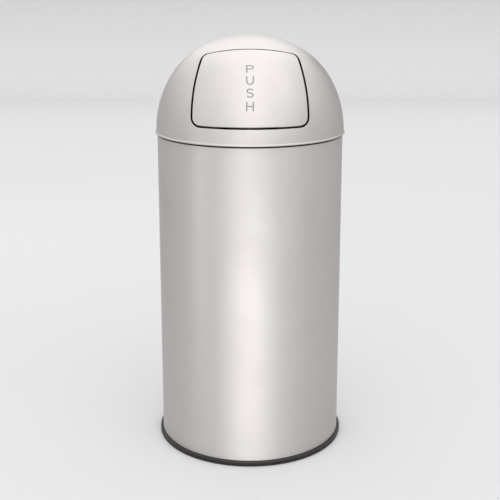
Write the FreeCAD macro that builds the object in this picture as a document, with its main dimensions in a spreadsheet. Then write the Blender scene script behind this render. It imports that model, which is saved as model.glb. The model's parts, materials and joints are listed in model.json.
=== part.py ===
import FreeCAD, Part
import math
import os

import Sketcher

# Dome top waste receptacle, free standing: a rolled steel can with a lift-out liner,
# a spun dome that sits on the can, and a sprung flap that swings into the dome.
# Frame: origin on the floor under the can's axis, +Z up, the flap faces -Y, millimetres.

DRIVING_SIZES = [
    ("sheet", 0.8, "steel sheet of the can, the dome, the flap and the liner"),
    ("fit", 0.1, "clearance between pieces that are pressed or welded together"),
    ("seat", 0.3, "clearance between pieces that move past or rest on each other"),
    ("body_radius", 165.0, "outside of the can"),
    ("seam_height", 568.0, "top edge of the can, where the dome rests"),
    ("curl_width", 3.2, "width of the curled safe edge at the top of the can"),
    ("curl_depth", 3.6, "height of that curl"),
    ("curl_outer", 1.8, "rounding of the curl's outer corner"),
    ("curl_inner", 0.8, "rounding of the curl's inner corner"),
    ("ring_ledge", 5.0, "how far the foot ring stands out past the can"),
    ("ring_height", 8.3, "visible height of the foot ring"),
    ("ring_web", 2.5, "plastic under the edge of the can"),
    ("ring_foot", 11.5, "width of the ring's foot on the floor"),
    ("ring_wall", 10.0, "height of the ring's inner wall"),
    ("ring_round", 1.5, "rounding of the ring's outer corners"),
    ("floor_height", 14.8, "top of the can's floor plate"),
    ("floor_recess", 3.0, "dish pressed into the floor plate"),
    ("recess_margin", 59.0, "from the can's outside to the flat part of that dish"),
    ("recess_slope", 6.0, "width of the dish's sloping side"),
    ("floor_round", 2.0, "bend between floor plate and skirt"),
    ("dome_overhang", 2.0, "how far the dome's foot stands out past the can"),
    ("dome_rise", 167.0, "height of the dome above its skirt"),
    ("dome_skirt", 5.0, "straight foot of the dome, rolled bead included"),
    ("shoulder_tuck", 22.0, "how far the dome's shoulder radius falls short of a half ball's"),
    ("flank_angle", 30.0, "degrees of the dome's section on its side arc, and on its crown arc"),
    ("bead", 1.8, "radius of the half-round bead rolled into the dome's foot"),
    ("collar_drop", 18.0, "depth of the locating collar inside the can"),
    ("collar_gap", 0.5, "play between collar and can"),
    ("collar_flange", 3.3, "width of the collar's welding flange"),
    ("collar_lead", 1.2, "how far the collar's lower edge is turned in"),
    ("collar_taper", 5.0, "height of that turned-in edge"),
    ("mouth_low", 28.2, "lower edge of the mouth above the seam"),
    ("mouth_half", 98.2, "half width of the mouth at its lower corners"),
    ("mouth_drop", 19.3, "middle of the mouth's upper edge below the dome's top"),
    ("shoulder_half", 81.8, "half width of the mouth at its upper corners"),
    ("shoulder_drop", 30.8, "upper corners of the mouth below the dome's top"),
    ("mouth_side_arc", 290.0, "radius of the mouth's bowed sides"),
    ("mouth_top_arc", 285.0, "radius of the mouth's bowed upper edge"),
    ("low_corner", 15.4, "radius of the mouth's lower corners"),
    ("top_corner", 17.4, "radius of the mouth's upper corners"),
    ("flap_gap", 3.2, "gap between flap and mouth at the sides and below"),
    ("flap_top_gap", 1.4, "height of the gap above the flap"),
    ("lip_depth", 7.0, "depth of the lip turned in round the flap"),
    ("lip_drop", 47.0, "upper end of that lip below the dome's top"),
    ("pivot_drop", 31.0, "hinge line below the dome's top"),
    ("rod_room", 12.3, "from the ends of the hinge line to the dome's skin"),
    ("rod_radius", 3.0, "hinge rod"),
    ("rod_half", 61.0, "half length of the hinge rod"),
    ("rod_play", 0.05, "running clearance round the hinge rod"),
    ("boss_radius", 6.5, "rounded end of brackets and arms round the rod"),
    ("plate", 2.0, "thickness of bracket ears and flap arms"),
    ("pad", 1.5, "thickness of the welded pads"),
    ("pad_half", 8.0, "half width of the welded pads"),
    ("ear_place", 56.0, "bracket ears, sideways from the middle"),
    ("ear_flare", 20.0, "how far a bracket ear reaches back from the rod at the dome"),
    ("pad_front", 2.0, "front edge of a bracket's pad in front of the rod"),
    ("arm_place", 46.0, "flap arms, sideways from the middle"),
    ("arm_low_drop", 72.0, "lower edge of a flap arm below the dome's top"),
    ("arm_high_drop", 33.0, "upper edge of a flap arm below the dome's top"),
    ("clip_radius", 5.0, "push-on clip at each end of the rod"),
    ("clip_thick", 1.0, "thickness of the clip"),
    ("spacer_radius", 5.0, "outside of the spacer sleeves"),
    ("wire", 0.8, "radius of the spring wire"),
    ("coil", 5.0, "radius of the spring's coil, middle of the wire"),
    ("coil_pitch", 1.9, "advance of one turn"),
    ("coil_turns", 6.79, "turns of one spring"),
    ("leg", 60.0, "longest leg of the spring before it is trimmed"),
    ("tab_angle", 20.0, "degrees between a stop tab and the middle of the flap"),
    ("tab_half", 9.0, "half width of a stop tab"),
    ("tab_low", 13.0, "lower end of a stop tab above the seam"),
    ("tab_high", 46.0, "upper end of a stop tab above the seam"),
    ("buffer_radius", 5.0, "rubber stop buffer"),
    ("buffer_rise", 20.0, "middle of the buffer above the seam"),
    ("liner_room", 20.0, "from the can's outside to the liner's top"),
    ("liner_draft", 5.0, "how much narrower the liner is at its foot"),
    ("liner_drop", 32.0, "top of the liner's rim below the seam"),
    ("rim", 3.0, "radius of the liner's rolled rim"),
    ("liner_dish", 5.2, "height of the liner's bottom above its foot"),
    ("seam_fold", 4.8, "height of the folded seam round the liner's foot"),
    ("lug_thick", 1.5, "bail lug plate"),
    ("lug_half", 12.0, "half width of a bail lug"),
    ("lug_reach", 32.0, "how far a bail lug reaches down from the rim"),
    ("lug_inset", 1.0, "space between lug and liner at its middle"),
    ("lug_cheek", 4.0, "how far the lug's rounded top starts below the bail's eye"),
    ("rivet", 2.0, "radius of a lug rivet"),
    ("rivet_head", 3.8, "radius of a rivet head"),
    ("rivet_cap", 1.4, "height of a rivet head"),
    ("rivet_play", 0.05, "clearance of a rivet in its hole"),
    ("tail_radius", 3.1, "radius of a rivet's flattened tail"),
    ("tail_thick", 0.7, "thickness of that tail"),
    ("rivet_down", 13.0, "upper rivet below the rim"),
    ("rivet_pitch", 11.0, "distance between a lug's two rivets"),
    ("bail_wire", 2.5, "radius of the bail's wire"),
    ("bail_bend", 3.2, "radius of the bends at the bail's ends"),
    ("bail_hook", 7.0, "length of the bail's ends inside the lugs"),
    ("bail_play", 0.4, "clearance of the bail in its lugs"),
    ("grip_radius", 5.0, "sleeve on the bail"),
    ("grip_angle", 34.0, "degrees of the bail that the sleeve covers"),
    ("grip_play", 0.05, "clearance of the sleeve on the wire"),
    ("overrun", 5.0, "how far a cutting shape runs past what it cuts"),
]

HALF_TURN = 180
FULL_TURN = 360
NEAR = 1.0  # how close an edge lies to the level by which it is picked

doc = FreeCAD.newDocument("dome_top_receptacle")
sizes = doc.addObject("Spreadsheet::Sheet", "sizes")
for row, (alias, value, meaning) in enumerate(DRIVING_SIZES, start=1):
    sizes.set(f"A{row}", alias)
    sizes.set(f"B{row}", str(value))
    sizes.setAlias(f"B{row}", alias)
    sizes.set(f"C{row}", meaning)
doc.recompute()

nodes = []


# ---- sizes that carry their sheet expression ----------------------------------------


def number(length):
    return length.value if isinstance(length, Size) else float(length)


def expression(length):
    return length.text if isinstance(length, Size) else str(length)


class Size:
    """A number together with the sheet expression that gives it."""

    def __init__(self, value, text):
        self.value = value
        self.text = text

    def __add__(self, other):
        return Size(self.value + number(other), f"({self.text} + {expression(other)})")

    def __sub__(self, other):
        return Size(self.value - number(other), f"({self.text} - {expression(other)})")

    def __mul__(self, other):
        return Size(self.value * number(other), f"({self.text} * {expression(other)})")

    def __truediv__(self, other):
        return Size(self.value / number(other), f"({self.text} / {expression(other)})")

    def __neg__(self):
        return Size(-self.value, f"(-1 * {self.text})")


def size(alias):
    return Size(float(sizes.get(alias)), f"sizes.{alias}")


def cosine(degrees):
    return Size(math.cos(math.radians(degrees.value)), f"cos({degrees.text} * 1 deg)")


def sine(degrees):
    return Size(math.sin(math.radians(degrees.value)), f"sin({degrees.text} * 1 deg)")


def smaller(first, second):
    return Size(min(first.value, second.value), f"min({first.text}; {second.text})")


def tangent_radii(across, rise, shoulder, angle):
    """Radii of a side and a crown arc that meet a shoulder arc at an angle without a kink."""
    run = sine(angle)
    drop = -cosine(angle) + 1
    spare_rise = rise - shoulder
    spare_width = across - shoulder
    spread = run * run - drop * drop
    side = (spare_rise * run - spare_width * drop) / spread
    crown = (spare_width * run - spare_rise * drop) / spread
    return shoulder + side, shoulder + crown


def square(length):
    return length * length


def root(area):
    return Size(math.sqrt(area.value), f"sqrt({area.text})")


def bind(target, prop, length):
    """Sets a property to a length and keeps it tied to the sheet."""
    if isinstance(length, Size):
        target.setExpression(prop, length.text)
    else:
        setattr(target, prop, length)


# ---- sketches -----------------------------------------------------------------------


def new_body(name):
    return doc.addObject("PartDesign::Body", name)


def new_sketch(body, plane, name, offset=None):
    """A sketch on one of the body's origin planes, moved along its normal by offset."""
    sketch = body.newObject("Sketcher::SketchObject", f"{body.Name}_{name}")
    support = [item for item in body.Origin.OriginFeatures if item.Role == plane]
    sketch.AttachmentSupport = [(support[0], "")]
    sketch.MapMode = "FlatFace"
    if offset is not None:
        bind(sketch, "AttachmentOffset.Base.z", offset)
    return sketch


def pin_point(sketch, geometry, point, x, y):
    """Ties a point of a sketch to its two coordinates."""
    for kind, axis, length in (("DistanceX", -2, x), ("DistanceY", -1, y)):
        if number(length) == 0:
            sketch.addConstraint(Sketcher.Constraint("PointOnObject", geometry, point, axis))
            continue
        if number(length) > 0:
            ends = (-1, 1, geometry, point)
            tied = length
        else:
            ends = (geometry, point, -1, 1)
            tied = -length
        index = sketch.addConstraint(Sketcher.Constraint(kind, *ends, number(tied)))
        if isinstance(tied, Size):
            sketch.setExpression(f"Constraints[{index}]", tied.text)


def set_radius(sketch, geometry, radius):
    index = sketch.addConstraint(Sketcher.Constraint("Radius", geometry, number(radius)))
    sketch.setExpression(f"Constraints[{index}]", expression(radius))


def flat(x, y):
    return FreeCAD.Vector(number(x), number(y), 0)


def arc_between(start, end, radius, turns_left):
    """The short arc from start to end, with its ends in counter-clockwise order."""
    chord = end - start
    aside = FreeCAD.Vector(-chord.y, chord.x, 0).normalize()
    depth = math.sqrt(max(radius**2 - (chord.Length / 2) ** 2, 0))
    centre = (start + end) / 2 + aside * (depth if turns_left else -depth)
    first, last = (start, end) if turns_left else (end, start)
    angles = [math.atan2(p.y - centre.y, p.x - centre.x) for p in (first, last)]
    circle = Part.Circle(centre, FreeCAD.Vector(0, 0, 1), radius)
    return Part.ArcOfCircle(circle, angles[0], angles[1])


class Pen:
    """Draws one closed outline edge by edge, with every corner tied to the sheet."""

    def __init__(self, sketch, x, y):
        self.sketch = sketch
        self.start = (x, y)
        self.place = (x, y)
        self.first_end = None
        self.last_end = None

    def join(self, end, kind="Coincident"):
        if self.last_end is None:
            self.first_end = end
        else:
            self.sketch.addConstraint(Sketcher.Constraint(kind, *self.last_end, *end))

    def line(self, x, y, pinned=True):
        segment = Part.LineSegment(flat(*self.place), flat(x, y))
        geometry = self.sketch.addGeometry(segment)
        self.join((geometry, 1))
        if pinned:
            pin_point(self.sketch, geometry, 2, x, y)
        self.last_end = (geometry, 2)
        self.place = (x, y)

    def arc(self, x, y, radius, turns_left, pinned=True, smooth=False):
        edge = arc_between(flat(*self.place), flat(x, y), number(radius), turns_left)
        geometry = self.sketch.addGeometry(edge)
        entry, leave = (1, 2) if turns_left else (2, 1)
        self.join((geometry, entry), "Tangent" if smooth else "Coincident")
        if pinned:
            pin_point(self.sketch, geometry, leave, x, y)
        set_radius(self.sketch, geometry, radius)
        self.last_end = (geometry, leave)
        self.place = (x, y)

    def close(self, turn=None):
        """Goes back to the start, with a line or an arc of the given radius."""
        if turn is None:
            self.line(*self.start)
        else:
            self.arc(*self.start, *turn)
        self.sketch.addConstraint(Sketcher.Constraint("Coincident", *self.last_end, *self.first_end))


def circle_in(sketch, x, y, radius):
    circle = Part.Circle(flat(x, y), FreeCAD.Vector(0, 0, 1), number(radius))
    geometry = sketch.addGeometry(circle)
    pin_point(sketch, geometry, 3, x, y)
    set_radius(sketch, geometry, radius)


# ---- features -----------------------------------------------------------------------


def revolve(body, sketch, name="turned", angle=360, midplane=False, axis="V_Axis"):
    feature = body.newObject("PartDesign::Revolution", f"{body.Name}_{name}")
    feature.Profile = sketch
    feature.ReferenceAxis = (sketch, [axis])
    feature.Midplane = midplane
    bind(feature, "Angle", angle)
    body.Tip = feature
    return feature


def pad(body, sketch, length, name="padded", midplane=False, reversed_side=False):
    feature = body.newObject("PartDesign::Pad", f"{body.Name}_{name}")
    feature.Profile = sketch
    feature.Midplane = midplane
    feature.Reversed = reversed_side
    bind(feature, "Length", length)
    body.Tip = feature
    return feature


def fillet_edges(body, name, radius, wanted):
    """Rounds the edges of the body's tip for which wanted(edge) is true."""
    doc.recompute()
    tip = body.Tip
    names = [f"Edge{n}" for n, edge in enumerate(tip.Shape.Edges, start=1) if wanted(edge)]
    feature = body.newObject("PartDesign::Fillet", f"{body.Name}_{name}")
    feature.Base = (tip, names)
    bind(feature, "Radius", radius)
    body.Tip = feature


def boolean(kind, name, base, tool):
    result = doc.addObject(f"Part::{kind}", name)
    result.Base = base
    result.Tool = tool
    return result


def joined(name, shapes):
    result = doc.addObject("Part::MultiFuse", name)
    result.Shapes = shapes
    return result


def mirrored(name, source):
    """The same piece on the other side of the middle plane."""
    result = doc.addObject("Part::Mirroring", name)
    result.Source = source
    result.Normal = FreeCAD.Vector(1, 0, 0)
    return result


def block(name, low, high):
    """A box between two corners, given as three lengths each."""
    result = doc.addObject("Part::Box", name)
    for prop, start, end in zip(("Length", "Width", "Height"), low, high):
        bind(result, prop, end - start)
    for letter, start in zip("xyz", low):
        bind(result, f"Placement.Base.{letter}", start)
    return result


def sleeve(name, outer, inner, start, end):
    """A tube along the hinge line from start to end, or a rod where inner is None."""
    body = new_body(name)
    sketch = new_sketch(body, "YZ_Plane", "section", start)
    circle_in(sketch, -pivot_front, pivot_height, outer)
    if inner is not None:
        circle_in(sketch, -pivot_front, pivot_height, inner)
    pad(body, sketch, end - start)
    return body


def node(name, piece):
    piece.Label = name
    nodes.append((name, piece))
    return piece


def dome_radius_at(drop):
    """The dome's outside radius on its shoulder arc, at a drop below its top."""
    spare = crown_arc - shoulder_arc
    centre_radius = spare * sine(size("flank_angle"))
    centre_drop = crown_arc - spare * cosine(size("flank_angle"))
    rise = centre_drop - drop
    return centre_radius + root(square(shoulder_arc) - square(rise))


# ---- sizes used by more than one piece ----------------------------------------------

none = Size(0.0, "0")
sheet = size("sheet")
fit = size("fit")
seat = size("seat")
body_radius = size("body_radius")
body_inner = body_radius - sheet
seam = size("seam_height")
ring_radius = body_radius + size("ring_ledge")
ring_web = size("ring_web")
floor_top = size("floor_height")
skirt_inner = body_inner - fit - sheet

dome_radius = body_radius + size("dome_overhang")
dome_rise = size("dome_rise")
spring_line = seam + size("dome_skirt")
dome_top = spring_line + dome_rise
shoulder_arc = smaller(dome_radius, dome_rise) - size("shoulder_tuck")
side_arc, crown_arc = tangent_radii(dome_radius, dome_rise, shoulder_arc, size("flank_angle"))

mouth_low = seam + size("mouth_low")
curl_reach = body_radius - size("curl_width")
collar_outer = curl_reach - size("collar_gap")
cutter_reach = dome_radius + size("overrun")

pivot_height = dome_top - size("pivot_drop")
pivot_reach = dome_radius_at(size("pivot_drop")) - size("rod_room")
pivot_front = root(square(pivot_reach) - square(size("rod_half")))
rod_radius = size("rod_radius")
rod_bore = rod_radius + size("rod_play")
boss = size("boss_radius")
plate = size("plate")
pad_half = size("pad_half")
ear_place = size("ear_place")
arm_place = size("arm_place")
lip_depth = size("lip_depth")
pad_face = sheet + fit
pad_back = pad_face + size("pad")

liner_radius = body_radius - size("liner_room")
liner_inner = liner_radius - sheet
liner_top = seam - size("liner_drop")
grip_radius = size("grip_radius")
bail_height = liner_top + grip_radius + seat
lug_outer = liner_inner - size("lug_inset")
lug_inner = lug_outer - size("lug_thick")
rivet_hole = size("rivet") + size("rivet_play")
upper_rivet = liner_top - size("rivet_down")
rivet_heights = [upper_rivet, upper_rivet - size("rivet_pitch")]


# ---- the can ------------------------------------------------------------------------


def make_body_shell():
    """Rolled sheet with its top edge curled inwards, standing in the foot ring."""
    body = new_body("body_shell")
    sketch = new_sketch(body, "XZ_Plane", "wall")
    outer = size("curl_outer")
    inner = size("curl_inner")
    curl_foot = seam - size("curl_depth")
    pen = Pen(sketch, body_radius, ring_web)
    pen.line(body_radius, seam - outer)
    pen.arc(body_radius - outer, seam, outer, True)
    pen.line(curl_reach + inner, seam)
    pen.arc(curl_reach, seam - inner, inner, True)
    pen.line(curl_reach, curl_foot + inner)
    pen.arc(curl_reach + inner, curl_foot, inner, True)
    pen.line(body_inner, curl_foot)
    pen.line(body_inner, ring_web)
    pen.close()
    revolve(body, sketch)
    return node("body_shell", body)


def make_bottom_plate():
    """Dished floor with a skirt that is welded inside the foot of the can."""
    body = new_body("bottom_plate")
    sketch = new_sketch(body, "XZ_Plane", "section")
    skirt_outer = body_inner - fit
    bend = size("floor_round")
    dish = body_radius - size("recess_margin")
    slope = size("recess_slope")
    recess = floor_top - size("floor_recess")
    under = floor_top - sheet
    pen = Pen(sketch, 0, recess)
    pen.line(dish, recess)
    pen.line(dish + slope, floor_top)
    pen.line(skirt_outer - bend, floor_top)
    pen.arc(skirt_outer, floor_top - bend, bend, False)
    pen.line(skirt_outer, ring_web)
    pen.line(skirt_inner, ring_web)
    pen.line(skirt_inner, floor_top - bend)
    pen.arc(skirt_outer - bend, under, bend - sheet, True)
    pen.line(dish + slope, under)
    pen.line(dish, recess - sheet)
    pen.line(0, recess - sheet)
    pen.close()
    revolve(body, sketch)
    return node("bottom_plate", body)


def make_base_ring():
    """Moulded foot ring whose groove takes the edge of the can and the floor's skirt."""
    body = new_body("base_ring")
    sketch = new_sketch(body, "XZ_Plane", "section")
    outer = ring_radius
    height = size("ring_height")
    bend = size("ring_round")
    foot_inner = outer - size("ring_foot")
    groove_outer = body_radius + fit
    groove_inner = skirt_inner - fit
    wall_top = size("ring_wall")
    pen = Pen(sketch, foot_inner, 0)
    pen.line(outer - bend, 0)
    pen.arc(outer, bend, bend, True)
    pen.line(outer, height - bend)
    pen.arc(outer - bend, height, bend, True)
    pen.line(groove_outer, height)
    pen.line(groove_outer, ring_web)
    pen.line(groove_inner, ring_web)
    pen.line(groove_inner, wall_top - bend)
    pen.line(groove_inner - bend, wall_top)
    pen.line(foot_inner, wall_top)
    pen.close()
    revolve(body, sketch)
    return node("base_ring", body)


# ---- the dome -----------------------------------------------------------------------


def dome_joints(inset):
    """Where the three tangent arcs of the dome's section meet, at an inset."""
    angle = math.radians(size("flank_angle").value)
    low_turn = FreeCAD.Vector(math.cos(angle), math.sin(angle), 0)
    high_turn = FreeCAD.Vector(math.sin(angle), math.cos(angle), 0)
    side_centre = flat(dome_radius - side_arc, spring_line)
    crown_centre = flat(0, dome_top - crown_arc)
    low_joint = side_centre + low_turn * (side_arc.value - inset)
    high_joint = crown_centre + high_turn * (crown_arc.value - inset)
    return low_joint, high_joint


def tangent_arcs(pen, inset, upward):
    """The dome's section from skirt to crown or back: side, shoulder and crown arcs."""
    low_joint, high_joint = dome_joints(number(inset))
    radii = [side_arc - inset, shoulder_arc - inset, crown_arc - inset]
    stops = [low_joint, high_joint, flat(0, dome_top - inset)]
    if not upward:
        radii.reverse()
        stops = [high_joint, low_joint, flat(dome_radius - inset, spring_line)]
    first = pen.sketch.GeometryCount
    for turn, (stop, radius) in enumerate(zip(stops, radii)):
        pen.arc(stop.x, stop.y, radius, upward, pinned=False, smooth=turn > 0)
    entry, leave = (1, 2) if upward else (2, 1)
    side, crown = (first, first + 2) if upward else (first + 2, first)
    foot = entry if upward else leave
    pen.sketch.addConstraint(Sketcher.Constraint("PointOnObject", crown, 3, -2))
    pen.sketch.addConstraint(Sketcher.Constraint("Horizontal", side, 3, side, foot))
    if upward:
        pen.place = (0, dome_top - inset)
        pin_point(pen.sketch, crown, leave, *pen.place)
    else:
        pen.place = (dome_radius - inset, spring_line)
        pin_point(pen.sketch, side, foot, *pen.place)


def dome_form(name, outer_inset, inner_inset=None):
    """A solid that follows the dome: a skin between two insets, or all inside the first."""
    body = new_body(name)
    sketch = new_sketch(body, "XZ_Plane", "section")
    pen = Pen(sketch, dome_radius - outer_inset, seam)
    pen.line(dome_radius - outer_inset, spring_line)
    tangent_arcs(pen, outer_inset, True)
    if inner_inset is None:
        pen.line(0, seam)
    else:
        pen.line(0, dome_top - inner_inset)
        tangent_arcs(pen, inner_inset, False)
        pen.line(dome_radius - inner_inset, seam)
    pen.close()
    revolve(body, sketch)
    return body


def mouth_prism(name, inset, top_inset):
    """The mouth's rounded outline as a prism from the middle of the dome to the front."""
    body = new_body(name)
    sketch = new_sketch(body, "XZ_Plane", "outline")
    half = size("mouth_half") - inset
    low = mouth_low + inset
    shoulder = size("shoulder_half") - inset
    high = dome_top - size("shoulder_drop") - top_inset / 2
    top = dome_top - size("mouth_drop") - top_inset
    side_bow = size("mouth_side_arc")
    top_bow = size("mouth_top_arc")
    pen = Pen(sketch, -half, low)
    pen.line(half, low)
    pen.arc(shoulder, high, side_bow, True)
    pen.arc(0, top, top_bow, True)
    pen.arc(-shoulder, high, top_bow, True)
    pen.close((side_bow, True))
    pad(body, sketch, cutter_reach)

    def corner_at(level):
        def chosen(edge):
            middle = edge.CenterOfMass
            runs_back = edge.BoundBox.YLength > dome_radius.value
            at_level = abs(middle.z - level.value) < NEAR
            return runs_back and at_level and abs(middle.x) > NEAR

        return chosen

    fillet_edges(body, "low_corners", size("low_corner") - inset, corner_at(low))
    fillet_edges(body, "top_corners", size("top_corner") - inset, corner_at(high))
    return body


def make_dome_shell():
    """Spun dome with a rolled bead and an inward flange at its foot, and the mouth cut."""
    body = new_body("dome_spun")
    sketch = new_sketch(body, "XZ_Plane", "section")
    bead = size("bead")
    skirt_inside = dome_radius - sheet
    flange_inner = collar_outer + fit
    pen = Pen(sketch, dome_radius, seam)
    pen.arc(dome_radius + bead, seam + bead, bead, True)
    pen.arc(dome_radius, seam + bead * 2, bead, True)
    pen.line(dome_radius, spring_line)
    tangent_arcs(pen, none, True)
    pen.line(0, dome_top - sheet)
    tangent_arcs(pen, sheet, False)
    pen.line(skirt_inside, seam + sheet)
    pen.line(flange_inner, seam + sheet)
    pen.line(flange_inner, seam)
    pen.close()
    revolve(body, sketch)
    mouth = mouth_prism("mouth_cutter", none, none)
    return node("dome_shell", boolean("Cut", "dome_shell", body, mouth))


def make_dome_collar():
    """Locating ring welded to the dome's flange, with its lower edge turned in."""
    body = new_body("dome_collar")
    sketch = new_sketch(body, "XZ_Plane", "section")
    inner = collar_outer - sheet
    lead = size("collar_lead")
    foot = seam - size("collar_drop")
    bend = foot + size("collar_taper")
    flange_top = seam + sheet * 2
    pen = Pen(sketch, collar_outer - lead, foot)
    pen.line(collar_outer, bend)
    pen.line(collar_outer, seam + sheet)
    pen.line(collar_outer + size("collar_flange"), seam + sheet)
    pen.line(collar_outer + size("collar_flange"), flange_top)
    pen.line(inner, flange_top)
    pen.line(inner, bend)
    pen.line(inner - lead, foot)
    pen.close()
    revolve(body, sketch)
    return node("dome_collar", body)


def make_hinge_brackets(inside, pad_skin):
    """Ears that hang from the dome and hold the rod, each on a welded pad."""
    ear = new_body("bracket_ear")
    sketch = new_sketch(ear, "YZ_Plane", "outline", ear_place - plate / 2)
    back = pivot_front - size("ear_flare")
    pen = Pen(sketch, -(pivot_front + boss), pivot_height)
    pen.arc(-pivot_front, pivot_height - boss, boss, True)
    pen.arc(-(pivot_front - boss), pivot_height, boss, True)
    pen.line(-back, dome_top)
    pen.line(-(pivot_front + boss), dome_top)
    pen.close()
    circle_in(sketch, -pivot_front, pivot_height, rod_bore)
    pad(ear, sketch, plate)
    trimmed_ear = boolean("Common", "bracket_ear_trimmed", ear, inside)
    footprint = block(
        "bracket_footprint",
        (ear_place - plate * 2, -(pivot_front + size("pad_front")), pivot_height),
        (ear_place + pad_half + plate, -back, dome_top),
    )
    welded_pad = boolean("Common", "bracket_pad", pad_skin, footprint)
    right = node("hinge_bracket_right", joined("hinge_bracket_right", [trimmed_ear, welded_pad]))
    node("hinge_bracket_left", mirrored("hinge_bracket_left", right))


def make_rod_set():
    """The rod, its push-on clips and the sleeves that keep the flap in the middle."""
    half = size("rod_half")
    node("hinge_rod", sleeve("hinge_rod", rod_radius, None, -half, half))
    clip_start = ear_place + plate / 2 + seat
    clip_end = clip_start + size("clip_thick")
    clip = sleeve("rod_clip", size("clip_radius"), rod_bore, clip_start, clip_end)
    both_clips = joined("rod_clips", [clip, mirrored("rod_clip_other", clip)])
    node("rod_clips", both_clips)
    spacer_start = arm_place + plate / 2 + seat
    spacer_end = ear_place - plate / 2 - seat
    spacer = sleeve("spacer", size("spacer_radius"), rod_bore, spacer_start, spacer_end)
    both_spacers = joined("hinge_spacers", [spacer, mirrored("spacer_other", spacer)])
    node("hinge_spacers", both_spacers)


def make_springs():
    """Torsion springs round the rod: one leg bears on the dome, the other on the flap."""
    wire = size("wire")
    coil = size("coil")
    turns = size("coil_turns")
    length = size("coil_pitch") * turns
    start = arm_place - plate / 2 - seat - wire - length
    turned = turns * FULL_TURN + HALF_TURN
    helix = doc.addObject("Part::Helix", "spring_helix")
    bind(helix, "Pitch", size("coil_pitch"))
    bind(helix, "Height", length)
    bind(helix, "Radius", coil)
    towards = [FreeCAD.Vector(*v) for v in ((0, -1, 0), (0, 0, -1), (1, 0, 0))]
    helix.Placement = FreeCAD.Placement(FreeCAD.Vector(), FreeCAD.Rotation(*towards, "ZXY"))
    section = doc.addObject("Part::Circle", "spring_section")
    bind(section, "Radius", wire)
    for piece, forward in ((helix, -pivot_front), (section, -(pivot_front + coil))):
        bind(piece, "Placement.Base.x", start)
        bind(piece, "Placement.Base.y", forward)
        bind(piece, "Placement.Base.z", pivot_height)
    doc.recompute()
    coils = doc.addObject("Part::Sweep", "spring_coils")
    coils.Sections = [section]
    coils.Spine = (helix, [f"Edge{n + 1}" for n in range(len(helix.Shape.Edges))])
    coils.Solid = True
    coils.Frenet = True

    def leg(name, along, forward, height, tilt, trim):
        rod = doc.addObject("Part::Cylinder", f"{name}_full")
        bind(rod, "Radius", wire)
        bind(rod, "Height", size("leg"))
        rod.Placement = FreeCAD.Placement(
            FreeCAD.Vector(), FreeCAD.Rotation(FreeCAD.Vector(1, 0, 0), number(tilt))
        )
        for letter, place in zip("xyz", (along, forward, height)):
            bind(rod, f"Placement.Base.{letter}", place)
        return boolean("Common", name, rod, trim)

    dome_inside = dome_form("spring_room_dome", sheet + seat)
    flap_inside = dome_form("spring_room_flap", pad_back + seat)
    fixed_leg = leg("spring_fixed_leg", start, -(pivot_front + coil), pivot_height, 0, dome_inside)
    loose_leg = leg(
        "spring_loose_leg",
        start + length,
        coil * cosine(turned) - pivot_front,
        coil * sine(turned) + pivot_height,
        turned,
        flap_inside,
    )
    right = joined("spring_right", [coils, fixed_leg, loose_leg])
    node("spring_right", right)
    node("spring_left", mirrored("spring_left", right))


# ---- the flap -----------------------------------------------------------------------


def make_flap_panel(gap, top_gap):
    """A panel of the dome's own shape with a lip turned in at its sides and foot."""
    skin = dome_form("flap_skin_form", none, sheet)
    lip_skin = dome_form("flap_lip_form", none, lip_depth)
    outside = mouth_prism("flap_outline", gap, top_gap)
    inside = mouth_prism("flap_lip_inside", gap + sheet, top_gap + sheet)
    face = boolean("Common", "flap_face", skin, outside)
    lip_outline = boolean("Cut", "flap_lip_outline", outside, inside)
    lip_all = boolean("Common", "flap_lip_all", lip_skin, lip_outline)
    below = block(
        "flap_lip_reach",
        (-body_radius, -cutter_reach, seam),
        (body_radius, none, dome_top - size("lip_drop")),
    )
    lip = boolean("Common", "flap_lip", lip_all, below)
    return node("flap_panel", joined("flap_panel", [face, lip]))


def make_hinge_arms(inside, pad_skin):
    """Arms that carry the flap on the rod, each on a pad welded inside the flap."""
    arm = new_body("arm_plate")
    sketch = new_sketch(arm, "YZ_Plane", "outline", arm_place - plate / 2)
    low = dome_top - size("arm_low_drop")
    high = dome_top - size("arm_high_drop")
    pen = Pen(sketch, -pivot_front, pivot_height - boss)
    pen.arc(-(pivot_front - boss), pivot_height, boss, True)
    pen.arc(-pivot_front, pivot_height + boss, boss, True)
    pen.line(-dome_radius, high)
    pen.line(-dome_radius, low)
    pen.close()
    circle_in(sketch, -pivot_front, pivot_height, rod_bore)
    pad(arm, sketch, plate)
    trimmed_arm = boolean("Common", "arm_trimmed", arm, inside)
    footprint = block(
        "arm_footprint",
        (arm_place - pad_half, -dome_radius, low),
        (arm_place + pad_half, -pivot_front, high),
    )
    welded_pad = boolean("Common", "arm_pad", pad_skin, footprint)
    right = node("hinge_arm_right", joined("hinge_arm_right", [trimmed_arm, welded_pad]))
    node("hinge_arm_left", mirrored("hinge_arm_left", right))


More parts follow.
